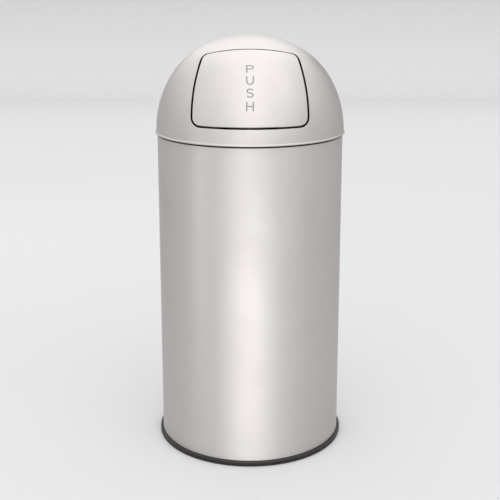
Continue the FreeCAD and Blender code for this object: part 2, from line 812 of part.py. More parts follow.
def make_stops():
    """Tabs on the flap's lip that reach behind the dome, each with a rubber buffer."""
    tab_front = lip_depth + fit
    skin = dome_form("stop_tab_form", tab_front, tab_front + size("pad"))
    aside = dome_radius * sine(size("tab_angle"))
    footprint = block(
        "stop_tab_footprint",
        (aside - size("tab_half"), -cutter_reach, seam + size("tab_low")),
        (aside + size("tab_half"), none, seam + size("tab_high")),
    )
    tab = node("stop_tab_right", boolean("Common", "stop_tab_right", skin, footprint))
    node("stop_tab_left", mirrored("stop_tab_left", tab))
    rubber = dome_form("buffer_form", sheet + seat, lip_depth)
    post = doc.addObject("Part::Cylinder", "buffer_post")
    bind(post, "Radius", size("buffer_radius"))
    bind(post, "Height", cutter_reach)
    post.Placement = FreeCAD.Placement(
        FreeCAD.Vector(), FreeCAD.Rotation(FreeCAD.Vector(1, 0, 0), 90)
    )
    bind(post, "Placement.Base.x", aside)
    bind(post, "Placement.Base.z", seam + size("buffer_rise"))
    buffer = boolean("Common", "buffer_right", rubber, post)
    node("stop_buffers", joined("stop_buffers", [buffer, mirrored("buffer_left", buffer)]))


# ---- the liner and its bail ---------------------------------------------------------


def make_liner_wall():
    """Tapered galvanised wall with a rolled rim, pierced for the lugs' rivets."""
    body = new_body("liner_wall")
    sketch = new_sketch(body, "XZ_Plane", "wall")
    rim = size("rim")
    foot = floor_top + sheet
    foot_radius = liner_radius - size("liner_draft")
    rim_height = liner_top - rim
    pen = Pen(sketch, foot_radius - sheet, foot)
    pen.line(foot_radius, foot)
    pen.line(liner_radius, rim_height)
    pen.line(liner_inner, rim_height)
    pen.close()
    revolve(body, sketch)
    rim_sketch = new_sketch(body, "XZ_Plane", "rim")
    circle_in(rim_sketch, liner_inner + rim, rim_height, rim)
    revolve(body, rim_sketch, "rolled_rim")
    holes = new_sketch(body, "YZ_Plane", "rivet_holes")
    for height in rivet_heights:
        circle_in(holes, 0, height, rivet_hole)
    pocket = body.newObject("PartDesign::Pocket", "liner_wall_holes")
    pocket.Profile = holes
    pocket.Type = "ThroughAll"
    pocket.Midplane = True
    body.Tip = pocket
    return node("liner_wall", body)


def make_liner_bottom():
    """Raised bottom whose edge is folded round the foot of the wall."""
    body = new_body("liner_bottom")
    sketch = new_sketch(body, "XZ_Plane", "section")
    wall_outer = liner_radius - size("liner_draft")
    wall_inner = wall_outer - sheet
    rise = floor_top + size("liner_dish")
    fold_outer = wall_outer + fit * 2
    fold_top = floor_top + size("seam_fold")
    web_outer = wall_inner - fit
    web_inner = web_outer - sheet
    pen = Pen(sketch, 0, rise - sheet)
    pen.line(web_inner, rise - sheet)
    pen.line(web_inner, floor_top)
    pen.line(fold_outer + sheet, floor_top)
    pen.line(fold_outer + sheet, fold_top)
    pen.line(fold_outer, fold_top)
    pen.line(fold_outer, floor_top + sheet)
    pen.line(web_outer, floor_top + sheet)
    pen.line(web_outer, rise)
    pen.line(0, rise)
    pen.close()
    revolve(body, sketch)
    return node("liner_bottom", body)


def make_bail_lugs():
    """Plates inside the liner that stand above its rim and hold the bail's ends."""
    body = new_body("bail_lug_right")
    sketch = new_sketch(body, "YZ_Plane", "outline", lug_inner)
    half = size("lug_half")
    low = liner_top - size("lug_reach")
    eye = size("bail_wire") + size("bail_play")
    shoulder = bail_height - size("lug_cheek")
    top = shoulder + half
    pen = Pen(sketch, -half, low)
    pen.line(half, low)
    pen.line(half, shoulder)
    pen.arc(0, top, half, True)
    pen.arc(-half, shoulder, half, True)
    pen.close()
    circle_in(sketch, 0, bail_height, eye)
    for height in rivet_heights:
        circle_in(sketch, 0, height, rivet_hole)
    pad(body, sketch, size("lug_thick"))
    node("bail_lug_right", body)
    node("bail_lug_left", mirrored("bail_lug_left", body))


def make_lug_rivets():
    """Two rivets a lug: a domed head inside, a shank, and a flat tail outside the liner."""
    shank = size("rivet")
    head = size("rivet_head")
    cap = size("rivet_cap")
    crown = (head * head + cap * cap) / (cap * 2)
    tail = liner_radius + fit
    tail_end = tail + size("tail_thick")
    pieces = []
    for count, height in enumerate(rivet_heights, start=1):
        body = new_body(f"lug_rivet_{count}")
        sketch = new_sketch(body, "XZ_Plane", "section")
        pen = Pen(sketch, lug_inner - cap, height)
        pen.arc(lug_inner, height + head, crown, False)
        pen.line(lug_inner, height + shank)
        pen.line(tail, height + shank)
        pen.line(tail, height + size("tail_radius"))
        pen.line(tail_end, height + size("tail_radius"))
        pen.line(tail_end, height)
        pen.close()
        axis = sketch.addGeometry(
            Part.LineSegment(flat(lug_inner, height), flat(tail, height)), True
        )
        pin_point(sketch, axis, 1, lug_inner, height)
        pin_point(sketch, axis, 2, tail, height)
        revolve(body, sketch, axis="Axis0")
        pieces += [body, mirrored(f"lug_rivet_{count}_other", body)]
    node("lug_rivets", joined("lug_rivets", pieces))


def bail_sizes():
    """Radii of the bail's wire, of its bow and of the bends at the bow's ends."""
    wire = size("bail_wire")
    bow = lug_outer + wire + size("bail_play") * 2
    return wire, bow, size("bail_bend")


def make_bail():
    """Round wire bow that lies on the liner's rim, with its ends hooked into the lugs."""
    wire, bow, bend = bail_sizes()
    body = new_body("bail_wire")
    path = new_sketch(body, "XY_Plane", "path", bail_height)
    tip = bow - bend - size("bail_hook")
    pen = Pen(path, tip, 0)
    pen.line(bow - bend, 0)
    pen.arc(bow, bend, bend, True)
    pen.arc(0, bend + bow, bow, True)
    pen.arc(-bow, bend, bow, True)
    pen.arc(-(bow - bend), 0, bend, True)
    pen.line(-tip, 0)
    pin_point(path, pen.first_end[0], 1, tip, 0)
    section = new_sketch(body, "YZ_Plane", "section", tip)
    circle_in(section, 0, bail_height, wire)
    pipe = body.newObject("PartDesign::AdditivePipe", "bail_wire_pipe")
    pipe.Profile = section
    pipe.Spine = path
    body.Tip = pipe
    return node("bail_wire", body)


def make_grip():
    """Sleeve on the middle of the bail."""
    wire, bow, bend = bail_sizes()
    body = new_body("bail_grip")
    sketch = new_sketch(body, "YZ_Plane", "section")
    middle = bow + bend
    circle_in(sketch, middle, bail_height, grip_radius)
    circle_in(sketch, middle, bail_height, wire + size("grip_play"))
    axis = sketch.addGeometry(Part.LineSegment(flat(bend, 0), flat(bend, bail_height)), True)
    pin_point(sketch, axis, 1, bend, 0)
    pin_point(sketch, axis, 2, bend, bail_height)
    revolve(body, sketch, angle=size("grip_angle"), midplane=True, axis="Axis0")
    return node("bail_grip", body)


def main():
    make_body_shell()
    make_bottom_plate()
    make_base_ring()
    make_liner_wall()
    make_liner_bottom()
    make_bail_lugs()
    make_lug_rivets()
    make_bail()
    make_grip()
    make_dome_shell()
    make_dome_collar()
    dome_inside = dome_form("room_under_skin", pad_face)
    pad_skin = dome_form("pad_skin", pad_face, pad_back)
    make_hinge_brackets(dome_inside, pad_skin)
    make_rod_set()
    make_springs()
    make_flap_panel(size("flap_gap"), size("flap_top_gap"))
    make_hinge_arms(dome_inside, pad_skin)
    make_stops()
    doc.recompute()
    check_and_export()


def check_and_export():
    for item in doc.Objects:
        faults = {"Invalid", "Error"} & set(item.State)
        if faults:
            raise RuntimeError(f"{item.Name} failed: {sorted(faults)}")
    os.makedirs("parts", exist_ok=True)
    for name, piece in nodes:
        shape = piece.Shape
        if shape.isNull() or not shape.isValid() or shape.Volume <= 0:
            raise RuntimeError(f"{name} has no valid shape")
    for name, piece in nodes:
        piece.Shape.exportStep(os.path.join("parts", f"{name}.step"))
        solids = len(piece.Shape.Solids)
        print(f"{name}: {solids} solid(s), {piece.Shape.Volume:.1f} mm3")


main()
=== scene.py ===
# %% [markdown]
# # A dome top waste can
#
# The real object is a round steel can with a spun dome on top. A sprung flap in the dome
# lets waste in, a liner inside holds it, and a black ring keeps the steel off the floor.
# A CAD model already gives every piece its size and place. This notebook gives the pieces
# that show a smooth sheet-metal surface, and gives all of them a finish.

import json
import math

import bmesh
import bpy
import numpy as np
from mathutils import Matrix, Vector


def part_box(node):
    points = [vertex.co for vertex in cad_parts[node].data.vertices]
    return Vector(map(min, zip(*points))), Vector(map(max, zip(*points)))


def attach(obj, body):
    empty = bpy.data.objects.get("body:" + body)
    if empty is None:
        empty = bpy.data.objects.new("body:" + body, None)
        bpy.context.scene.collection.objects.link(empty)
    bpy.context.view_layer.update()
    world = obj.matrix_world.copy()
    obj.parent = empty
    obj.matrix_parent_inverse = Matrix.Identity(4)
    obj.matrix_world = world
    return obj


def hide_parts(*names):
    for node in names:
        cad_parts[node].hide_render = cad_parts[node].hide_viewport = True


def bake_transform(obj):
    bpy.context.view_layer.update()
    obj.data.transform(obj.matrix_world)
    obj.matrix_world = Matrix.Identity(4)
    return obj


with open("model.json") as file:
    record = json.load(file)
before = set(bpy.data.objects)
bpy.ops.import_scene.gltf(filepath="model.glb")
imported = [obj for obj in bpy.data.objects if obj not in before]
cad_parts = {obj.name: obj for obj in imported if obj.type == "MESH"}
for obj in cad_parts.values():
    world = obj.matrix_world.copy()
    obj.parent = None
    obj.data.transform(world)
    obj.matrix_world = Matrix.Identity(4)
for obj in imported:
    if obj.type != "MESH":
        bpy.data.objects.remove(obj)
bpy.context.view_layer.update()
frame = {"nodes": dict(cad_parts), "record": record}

# %% [markdown]
# ## Sizes
#
# The frame already knows where everything is, so most places are read from it. What it
# can't tell is how a sheet is bent: those few radii are written here once, in metres.

# %% Sizes that more than one piece uses
MM = 0.001
SHEET = 0.8 * MM
DOME_RADIUS = 167 * MM
DOME_SKIRT = 5 * MM
SHOULDER_ARC = 145 * MM
FLANK_ANGLE = math.radians(30)
BEAD = 1.8 * MM
CAN_RADIUS = 165 * MM

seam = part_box("body_shell")[1].z
spring_line = seam + DOME_SKIRT
dome_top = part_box("dome_shell")[1].z
print(f"seam at {seam:.4f} m, top of the dome at {dome_top:.4f} m")

# %% [markdown]
# ## The dome's section
#
# A spun dome isn't half a ball. Its side stands nearly upright, its shoulder turns more
# tightly, and its crown is flat again. Three arcs that meet without a kink follow the
# sheet as it lies on the spinning tool, and a formula gives any point on them, which
# keeps the shading perfectly even.


# %% Three tangent arcs as a formula of the length along the sheet
def tangent_arcs(rise):
    """Radii and centres of the side, shoulder and crown arcs, in radius and height."""
    run, drop = math.sin(FLANK_ANGLE), 1 - math.cos(FLANK_ANGLE)
    high, wide = rise - SHOULDER_ARC, DOME_RADIUS - SHOULDER_ARC
    spread = run**2 - drop**2
    side = SHOULDER_ARC + (high * run - wide * drop) / spread
    crown = SHOULDER_ARC + (wide * run - high * drop) / spread
    low = np.array([DOME_RADIUS - side, spring_line])
    top = np.array([0.0, dome_top - crown])
    middle = low + np.array([math.cos(FLANK_ANGLE), run]) * (side - SHOULDER_ARC)
    return (side, SHOULDER_ARC, crown), (low, middle, top)


DOME_ARCS, CENTRES = tangent_arcs(dome_top - spring_line)
TURNS = (0.0, FLANK_ANGLE, math.pi / 2 - FLANK_ANGLE, math.pi / 2)
ARC_LENGTHS = [r * (b - a) for r, a, b in zip(DOME_ARCS, TURNS, TURNS[1:])]
DOME_LENGTH = sum(ARC_LENGTHS)


def section(length):
    """Radius, height and outward angle of the dome's skin at lengths up from its skirt."""
    length = np.asarray(length, float)
    radius = np.full(length.shape, DOME_RADIUS)
    height = spring_line + length
    turn = np.zeros(length.shape)
    start = 0.0
    for centre, arc, first, reach in zip(CENTRES, DOME_ARCS, TURNS, ARC_LENGTHS):
        here = length >= start
        angle = first + (length - start) / arc
        radius = np.where(here, centre[0] + arc * np.cos(angle), radius)
        height = np.where(here, centre[1] + arc * np.sin(angle), height)
        turn = np.where(here, angle, turn)
        start += reach
    return radius, height, turn


def on_dome(around, length, lift=0.0):
    """Points on the dome, lifted off its skin; around is an angle from the front."""
    radius, height, turn = section(length)
    radius = radius + lift * np.cos(turn)
    height = height + lift * np.sin(turn)
    return np.stack([radius * np.sin(around), -radius * np.cos(around), height], -1)


LADDER_STEPS = 4000
ladder = np.linspace(-DOME_SKIRT, DOME_LENGTH, LADDER_STEPS)
ladder_heights = section(ladder)[1]


def length_at(height):
    """Length along the skin at which the dome has a height."""
    return np.interp(height, ladder_heights, ladder)


print(f"the sheet is {DOME_LENGTH / MM:.1f} mm long from skirt to crown")

# %% [markdown]
# ## Helpers for meshes
#
# Arrays of points become a piece here. A finished piece gets its finish,
# hides the CAD node for which it stands, and is handed to the body that it moves with.


# %% From points to a piece
def new_piece(name, points, faces, edges=()):
    """A smooth mesh object at the origin."""
    mesh = bpy.data.meshes.new(name)
    mesh.from_pydata([tuple(p) for p in points], list(edges), [tuple(f) for f in faces])
    mesh.update()
    mesh.shade_smooth()
    piece = bpy.data.objects.new(name, mesh)
    bpy.context.scene.collection.objects.link(piece)
    return piece


def path_piece(name, points):
    """Points joined to one line, which a geometry tree turns or draws."""
    return new_piece(name, points, [], edges=[(k, k + 1) for k in range(len(points) - 1)])


def dress(piece, slot, material, *stands_for):
    """Gives a piece its material; it may stand for CAD nodes. The slot is not used."""
    piece.data.materials.clear()
    piece.data.materials.append(material)
    if stands_for:
        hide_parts(*stands_for)


def settle(piece, body, slot, material, *stands_for):
    """Dresses a finished piece and hands it to the body that it moves with."""
    dress(piece, slot, material, *stands_for)
    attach(piece, body)
    print(f"{piece.name}: {len(piece.data.polygons)} faces")


def applied(piece):
    """The piece's modifiers worked into its mesh, as a plain mesh object."""
    view = bpy.context.evaluated_depsgraph_get()
    mesh = bpy.data.meshes.new_from_object(piece.evaluated_get(view))
    piece.modifiers.clear()
    piece.data = mesh
    return piece


def strip_faces(rows, columns, closed=False, first=0, window=None):
    """Quads between neighbouring rows of points; closed joins the last column to the first.

    A window (low row, high row, left column, right column) is left open.
    """
    low, high, left, right = window or (0, 0, 0, 0)
    faces = []
    for row in range(rows - 1):
        for column in range(columns if closed else columns - 1):
            if low <= row < high and left <= column < right:
                continue
            after = (column + 1) % columns
            here, above = first + row * columns, first + (row + 1) * columns
            faces.append((here + column, here + after, above + after, above + column))
    return faces


# %% [markdown]
# ## Nodes in a few lines
#
# Shader trees and geometry trees are built here in the script. One helper adds a node
# and feeds its inputs, so that a tree reads from top to bottom. The others are nodes that
# many trees need.


# %% A node and its links in one call
def feed(tree, node, inputs):
    """Links each named or numbered input to an output, or sets it to a constant."""
    for key, source in dict(inputs).items():
        socket = node.inputs[key]
        if isinstance(source, bpy.types.NodeSocket):
            tree.links.new(source, socket)
        else:
            socket.default_value = source


def add(tree, kind, inputs=(), **values):
    """Adds a node, sets its properties and feeds its inputs."""
    made = tree.nodes.new(kind)
    for name, value in values.items():
        setattr(made, name, value)
    feed(tree, made, inputs)
    return made


def math_node(tree, operation, first, second=0.0):
    """The result of one sum on numbers or outputs."""
    return add(tree, "ShaderNodeMath", {0: first, 1: second}, operation=operation).outputs[0]


def ranged(tree, value, first, last, low=0.0, high=1.0, kind="LINEAR"):
    """What runs from low to high while the value runs from first to last."""
    return add(tree, "ShaderNodeMapRange", {
        "Value": value, "From Min": first, "From Max": last, "To Min": low, "To Max": high,
    }, interpolation_type=kind).outputs[0]


def mix_colours(tree, factor, first, second):
    """The first colour where the factor is 0, the second where it is 1."""
    return add(tree, "ShaderNodeMix", {0: factor, 6: first, 7: second}, data_type="RGBA").outputs[2]


def new_group(name, kind, inputs, outputs):
    """An empty node group with named sockets, and its input and output nodes."""
    tree = bpy.data.node_groups.new(name, kind)
    for label, socket_kind, value in inputs:
        socket = tree.interface.new_socket(label, in_out="INPUT", socket_type=socket_kind)
        if value is not None:
            socket.default_value = value
    for label, socket_kind in outputs:
        tree.interface.new_socket(label, in_out="OUTPUT", socket_type=socket_kind)
    return tree, tree.nodes.new("NodeGroupInput"), tree.nodes.new("NodeGroupOutput")


# %% [markdown]
# ## Grain
#
# Rolled sheet keeps hairlines from the belt that polished it. They could be drawn as
# lines, but noise that is stretched some fifty times along one direction looks the same
# and never repeats. The group gives out one number from 0 to 1, so every metal can use
# it with its own size.

# %% The grain group
SHADER = "ShaderNodeTree"
FLOAT = "NodeSocketFloat"
VECTOR = "NodeSocketVector"


def make_grain():
    """Noise with its own scale around the axis and across the hairlines."""
    tree, given, out = new_group(
        "hairline grain", SHADER,
        [("Vector", VECTOR, None), ("Around", FLOAT, 40.0), ("Across", FLOAT, 2200.0)],
        [("Grain", FLOAT)],
    )
    stretch = add(tree, "ShaderNodeCombineXYZ", {
        "X": given.outputs["Around"], "Y": given.outputs["Around"], "Z": given.outputs["Across"],
    })
    place = add(tree, "ShaderNodeVectorMath", {
        0: given.outputs["Vector"], 1: stretch.outputs[0],
    }, operation="MULTIPLY")
    noise = add(tree, "ShaderNodeTexNoise", {
        "Vector": place.outputs[0], "Scale": 1.0, "Detail": 3.0, "Roughness": 0.6,
    })
    feed(tree, out, {"Grain": noise.outputs["Fac"]})
    return tree


grain = make_grain()
print("shader group:", grain.name)

# %% [markdown]
# ## Handling
#
# Steel that people touch is never evenly clean. Broad, soft clouds in the gloss show it
# best, and they come from a low noise with its contrast raised.


# %% The handling group
HANDLING_SCALE = 9.0


def make_handling():
    """Broad clouds from 0 to 1 with soft borders."""
    tree, given, out = new_group(
        "handling", SHADER,
        [("Vector", VECTOR, None), ("Scale", FLOAT, HANDLING_SCALE)],
        [("Mask", FLOAT)],
    )
    noise = add(tree, "ShaderNodeTexNoise", {
        "Vector": given.outputs["Vector"], "Scale": given.outputs["Scale"], "Detail": 4.0,
        "Roughness": 0.55, "Distortion": 0.3,
    })
    spread = ranged(tree, noise.outputs["Fac"], 0.35, 0.7, kind="SMOOTHSTEP")
    feed(tree, out, {"Mask": spread})
    return tree


handling = make_handling()
print("shader group:", handling.name)


# %% [markdown]
# ## The metals
#
# All the sheet metals are one recipe with different values: a base colour that drifts a
# little, a roughness that the handling clouds and the grain change, and a very shallow
# bump. Satin steel also spreads its highlight along one direction, which a brushed
# surface does, and that needs the piece's own UV map as its direction. Round the crown
# of the dome all directions meet, so the spread fades out there.


# %% A recipe for sheet metal
UNEVEN_GLOSS = 0.05
CROWN_BRUSHED = 0.05
QUARTER_TURN = 0.25
METAL_BUMP = 0.2 * MM


def shaded(colour, factor):
    """A colour with alpha, made darker or lighter by a factor."""
    return (colour[0] * factor, colour[1] * factor, colour[2] * factor, 1.0)


def new_material(name):
    """A material, its tree, its shader and the place of a point on the object."""
    material = bpy.data.materials.new(name)
    material.use_nodes = True
    tree = material.node_tree
    shader = tree.nodes["Principled BSDF"]
    place = add(tree, "ShaderNodeTexCoord").outputs["Object"]
    return material, tree, shader, place


def bumped(tree, shader, height, strength, distance):
    """Lets a height tilt the shader's normal."""
    bump = add(tree, "ShaderNodeBump", {"Height": height, "Strength": strength, "Distance": distance})
    feed(tree, shader, {"Normal": bump.outputs[0]})


def handled(tree, place, scale=HANDLING_SCALE):
    """The mask of the handling clouds."""
    clouds = add(tree, "ShaderNodeGroup", {"Vector": place, "Scale": scale}, node_tree=handling)
    return clouds.outputs["Mask"]


def sheet_metal(name, colour, rough, drift=0.04, around=40.0, across=2200.0, depth=0.02,
                brushed=0.0, painted_shade=0.0, crown=None):
    """Metal with grain and handling; painted shade darkens its colour where the piece's attribute marks
    shadow.

    Brushed steel has a direction, which fades out between the two crown heights.
    """
    material, tree, shader, place = new_material(name)
    lines = add(tree, "ShaderNodeGroup", {
        "Vector": place, "Around": around, "Across": across,
    }, node_tree=grain).outputs["Grain"]
    clouds = handled(tree, place)
    tone = mix_colours(tree, clouds, shaded(colour, 1.0), shaded(colour, 1 - drift))
    # Painted shade: the colour is darkened where the piece marks shadow in grooves and troughs.
    if painted_shade:
        mark = add(tree, "ShaderNodeAttribute", attribute_name="painted_shade").outputs["Fac"]
        tone = mix_colours(tree, mark, tone, shaded(colour, 1 - painted_shade))
    cloud_part = math_node(tree, "MULTIPLY", clouds, UNEVEN_GLOSS)
    line_part = math_node(tree, "MULTIPLY", lines, UNEVEN_GLOSS)
    both = math_node(tree, "ADD", cloud_part, line_part)
    gloss = math_node(tree, "ADD", both, rough - UNEVEN_GLOSS)
    feed(tree, shader, {"Base Color": tone, "Roughness": gloss, "Metallic": 1.0})
    bumped(tree, shader, lines, depth, METAL_BUMP)
    if brushed:
        along = add(tree, "ShaderNodeTangent", direction_type="UV_MAP", uv_map="UVMap")
        feed(tree, shader, {
            "Anisotropic": brushed, "Anisotropic Rotation": QUARTER_TURN, "Tangent": along.outputs[0],
        })
    if crown:
        height = add(tree, "ShaderNodeSeparateXYZ", {0: place}).outputs[2]
        fade = ranged(tree, height, *crown, brushed, CROWN_BRUSHED, "SMOOTHSTEP")
        feed(tree, shader, {"Anisotropic": fade})
    return material


# %% The metals of this can
STEEL = (0.80, 0.765, 0.745)
CROWN = (dome_top - 50 * MM, dome_top - 8 * MM)
# The satin steels darken their colour with painted shade wherever a piece marks it.
satin_steel = sheet_metal("satin steel", STEEL, 0.53, brushed=0.7, painted_shade=0.94)
satin_dome = sheet_metal("satin steel of the dome", STEEL, 0.53, brushed=0.7, painted_shade=0.94, crown=CROWN)
satin_flap = sheet_metal("satin steel of the flap", STEEL, 0.53, brushed=0.7, painted_shade=0.62, crown=CROWN)
# Near-black steel: painted shade for the stop tabs behind the flap's gap.
gap_shade_steel = sheet_metal("steel painted dark as gap shade", (0.06, 0.06, 0.06), 0.6, drift=0.2, depth=0.05)
plain_steel = sheet_metal("plain steel", (0.62, 0.62, 0.62), 0.42, drift=0.1, depth=0.05)
rod_steel = sheet_metal("bright rod steel", (0.72, 0.72, 0.73), 0.18, around=300, across=300)
wire_steel = sheet_metal("spring wire", (0.40, 0.40, 0.41), 0.34, around=200, across=200)
zinc_wire = sheet_metal("zinc plated wire", (0.66, 0.67, 0.69), 0.30, around=300, across=300)
weld_steel = sheet_metal("spot weld", (0.42, 0.39, 0.36), 0.4, drift=0.3, around=600, across=600)
rivet_alloy = sheet_metal("rivet alloy", (0.78, 0.78, 0.79), 0.34, around=500, across=500)
print(f"the brushed look fades out between {CROWN[0]:.3f} and {CROWN[1]:.3f} m")

# %% [markdown]
# ## Zinc, plastic and rubber
#
# Hot-dip zinc freezes in crystals, each with its own tone: the cells of a Voronoi
# pattern have just that look. Moulded plastic has no grain at all but a fine leathery
# skin from the tool, which a small noise bump gives.


# %% Galvanised sheet
ZINC_DARK = (0.50, 0.52, 0.54, 1)
ZINC_BRIGHT = (0.70, 0.72, 0.74, 1)
ZINC_DULL = (0.52, 0.53, 0.54, 1)
ZINC_GLOSS = (0.36, 0.52)
ZINC_DULLING = 0.5
CRYSTAL_SCALE = 85.0
CRYSTAL_RELIEF = 0.08
BEND_SCALE = 60.0
CRYSTAL_BEND = (0.012, 0.012, 0.012)


def galvanised_sheet():
    """Zinc crystals with their own tone and gloss, dulled in clouds."""
    material, tree, shader, place = new_material("galvanised sheet")
    warp = add(tree, "ShaderNodeTexNoise", {"Vector": place, "Scale": BEND_SCALE, "Detail": 2.0})
    push = add(tree, "ShaderNodeVectorMath", {
        0: warp.outputs["Color"], 1: CRYSTAL_BEND,
    }, operation="MULTIPLY")
    bent = add(tree, "ShaderNodeVectorMath", {0: place, 1: push.outputs[0]}, operation="ADD")
    cells = add(tree, "ShaderNodeTexVoronoi", {"Vector": bent.outputs[0], "Scale": CRYSTAL_SCALE})
    tone = add(tree, "ShaderNodeSeparateColor", {0: cells.outputs["Color"]}).outputs
    dulling = math_node(tree, "MULTIPLY", handled(tree, place), ZINC_DULLING)
    crystals = mix_colours(tree, tone[0], ZINC_DARK, ZINC_BRIGHT)
    colour = mix_colours(tree, dulling, crystals, ZINC_DULL)
    gloss = ranged(tree, tone[1], 0, 1, *ZINC_GLOSS)
    feed(tree, shader, {"Base Color": colour, "Roughness": gloss, "Metallic": 1.0})
    bumped(tree, shader, tone[0], CRYSTAL_RELIEF, METAL_BUMP)
    return material


zinc_sheet = galvanised_sheet()
print("zinc:", zinc_sheet.name)


# %% Moulded pieces
WEAR_SCALE = 22.0
WORN_LIGHTER = 1.35
WORN_GLOSS = (-0.04, 0.08)
SKIN_BUMP = 0.3 * MM
COAT_ROUGH = 0.2


def moulded(name, colour, rough, skin=900.0, depth=0.12, coat=0.0):
    """Plastic or rubber: a tone that drifts, and the fine skin of the mould."""
    material, tree, shader, place = new_material(name)
    clouds = handled(tree, place, WEAR_SCALE)
    tone = mix_colours(tree, clouds, shaded(colour, 1.0), shaded(colour, WORN_LIGHTER))
    gloss = ranged(tree, clouds, 0, 1, *(rough + change for change in WORN_GLOSS))
    feed(tree, shader, {
        "Base Color": tone, "Roughness": gloss, "Coat Weight": coat, "Coat Roughness": COAT_ROUGH,
    })
    pebble = add(tree, "ShaderNodeTexNoise", {"Vector": place, "Scale": skin, "Detail": 2.0})
    bumped(tree, shader, pebble.outputs["Fac"], depth, SKIN_BUMP)
    return material


black_plastic = moulded("black ring plastic", (0.013, 0.011, 0.011), 0.36, coat=0.1)
grip_plastic = moulded("grip plastic", (0.03, 0.03, 0.032), 0.5)
nylon = moulded("nylon", (0.80, 0.79, 0.74), 0.42, skin=500.0, depth=0.05)
rubber = moulded("stop rubber", (0.03, 0.03, 0.03), 0.7, skin=700.0, depth=0.2)
print("moulded:", [made.name for made in (black_plastic, grip_plastic, nylon, rubber)])

# %% [markdown]
# ## Finishes for the pieces that keep their CAD shape
#
# Hinge parts, lugs and liner are right as they are. Each node only takes the material
# of its record slot. The stop tabs lie behind the gap round the flap; their steel is
# painted near black as the gap's shade, so that the gap stays dark.

# %% Give the CAD nodes their finishes
FINISH = {
    "satin_steel": satin_steel,
    "plain_steel": plain_steel,
    "galvanised_steel": zinc_sheet,
    "black_plastic": black_plastic,
    "zinc_wire": zinc_wire,
    "grip_plastic": grip_plastic,
    "bright_steel": rod_steel,
    "rivet_alloy": rivet_alloy,
    "nylon": nylon,
    "spring_steel": wire_steel,
    "rubber": rubber,
}
for part in frame["record"]["subparts"]:
    target = frame["nodes"][part["node"]]
    target.data.materials.clear()
    target.data.materials.append(FINISH[part["material_slot"]])
# Painted shade: the stop tabs are coloured near black so that the gap round the flap reads as shadow.
for name in ("stop_tab_left", "stop_tab_right"):
    frame["nodes"][name].data.materials[0] = gap_shade_steel

# %% [markdown]
# ## Turned pieces
#
# The can and its foot ring are the same round the whole way, so one profile and one
# rule are enough. A Geometry Nodes tree lays the profile's points on a grid and turns
# each column of the grid a little further round the axis. A Screw modifier could do it
# too, but here the number of columns and the finish are inputs that can be changed.

# %% How every geometry tree starts and ends
GEOMETRY = "NodeSocketGeometry"
WHOLE = "NodeSocketInt"


def geometry_group(name, *inputs):
    """An empty geometry tree whose last input is the finish."""
    finish = ("Finish", "NodeSocketMaterial", None)
    return new_group(name, "GeometryNodeTree", [*inputs, finish], [("Geometry", GEOMETRY)])


def end_tree(tree, given, out, made):
    """Smooths what a tree made, realizes its instances and gives it the finish."""
    smooth = add(tree, "GeometryNodeSetShadeSmooth", {0: made})
    real = add(tree, "GeometryNodeRealizeInstances", {"Geometry": smooth.outputs[0]})
    finished = add(tree, "GeometryNodeSetMaterial", {
        "Geometry": real.outputs[0], "Material": given.outputs["Finish"],
    })
    feed(tree, out, {"Geometry": finished.outputs[0]})
    print("geometry tree:", tree.name)
    return tree


# %% The turning tree
def make_turning_tree():
    """A profile's points on a grid, each column turned a little further."""
    tree, given, out = geometry_group(
        "turned piece", ("Profile", GEOMETRY, None), ("Columns", WHOLE, 256),
    )
    profile, columns = given.outputs["Profile"], given.outputs["Columns"]
    rows = add(tree, "GeometryNodeAttributeDomainSize", {"Geometry": profile}).outputs["Point Count"]
    more = math_node(tree, "ADD", columns, 1.0)
    grid = add(tree, "GeometryNodeMeshGrid", {"Vertices X": more, "Vertices Y": rows})
    index = add(tree, "GeometryNodeInputIndex").outputs[0]
    column = math_node(tree, "FLOOR", math_node(tree, "DIVIDE", index, rows))
    row = math_node(tree, "SUBTRACT", index, math_node(tree, "MULTIPLY", column, rows))
    position = add(tree, "GeometryNodeInputPosition").outputs[0]
    picked = add(tree, "GeometryNodeSampleIndex", {
        "Geometry": profile, "Value": position, "Index": row,
    }, data_type="FLOAT_VECTOR")
    radius, _, height = add(tree, "ShaderNodeSeparateXYZ", {0: picked.outputs[0]}).outputs
    share = math_node(tree, "DIVIDE", column, columns)
    angle = math_node(tree, "MULTIPLY", share, 2 * math.pi)
    forward = math_node(tree, "MULTIPLY", math_node(tree, "COSINE", angle), -1.0)
    turned_place = add(tree, "ShaderNodeCombineXYZ", {
        "X": math_node(tree, "MULTIPLY", radius, math_node(tree, "SINE", angle)),
        "Y": math_node(tree, "MULTIPLY", radius, forward),
        "Z": height,
    })
    around = add(tree, "ShaderNodeCombineXYZ", {"X": share, "Y": height})
    per_point = add(tree, "GeometryNodeFieldOnDomain", {
        0: around.outputs[0],
    }, data_type="FLOAT_VECTOR", domain="POINT")
    mapped = add(tree, "GeometryNodeStoreNamedAttribute", {
        "Geometry": grid.outputs["Mesh"], "Name": "UVMap", "Value": per_point.outputs[0],
    }, data_type="FLOAT2", domain="CORNER")
    placed = add(tree, "GeometryNodeSetPosition", {
        "Geometry": mapped.outputs[0], "Position": turned_place.outputs[0],
    })
    closed = add(tree, "GeometryNodeMergeByDistance", {"Geometry": placed.outputs[0], "Distance": 1e-6})
    return end_tree(tree, given, out, closed.outputs[0])


turning = make_turning_tree()


# %% From a tree to a plain mesh
def run_tree(piece, tree, **inputs):
    """Runs a geometry tree on a piece and keeps the result as its mesh."""
    modifier = piece.modifiers.new(tree.name, "NODES")
    modifier.node_group = tree
    for item in tree.interface.items_tree:
        if item.item_type == "SOCKET" and item.in_out == "INPUT" and item.name in inputs:
            modifier[item.identifier] = inputs[item.name]
    return applied(piece)


DOUBLES = 1e-7


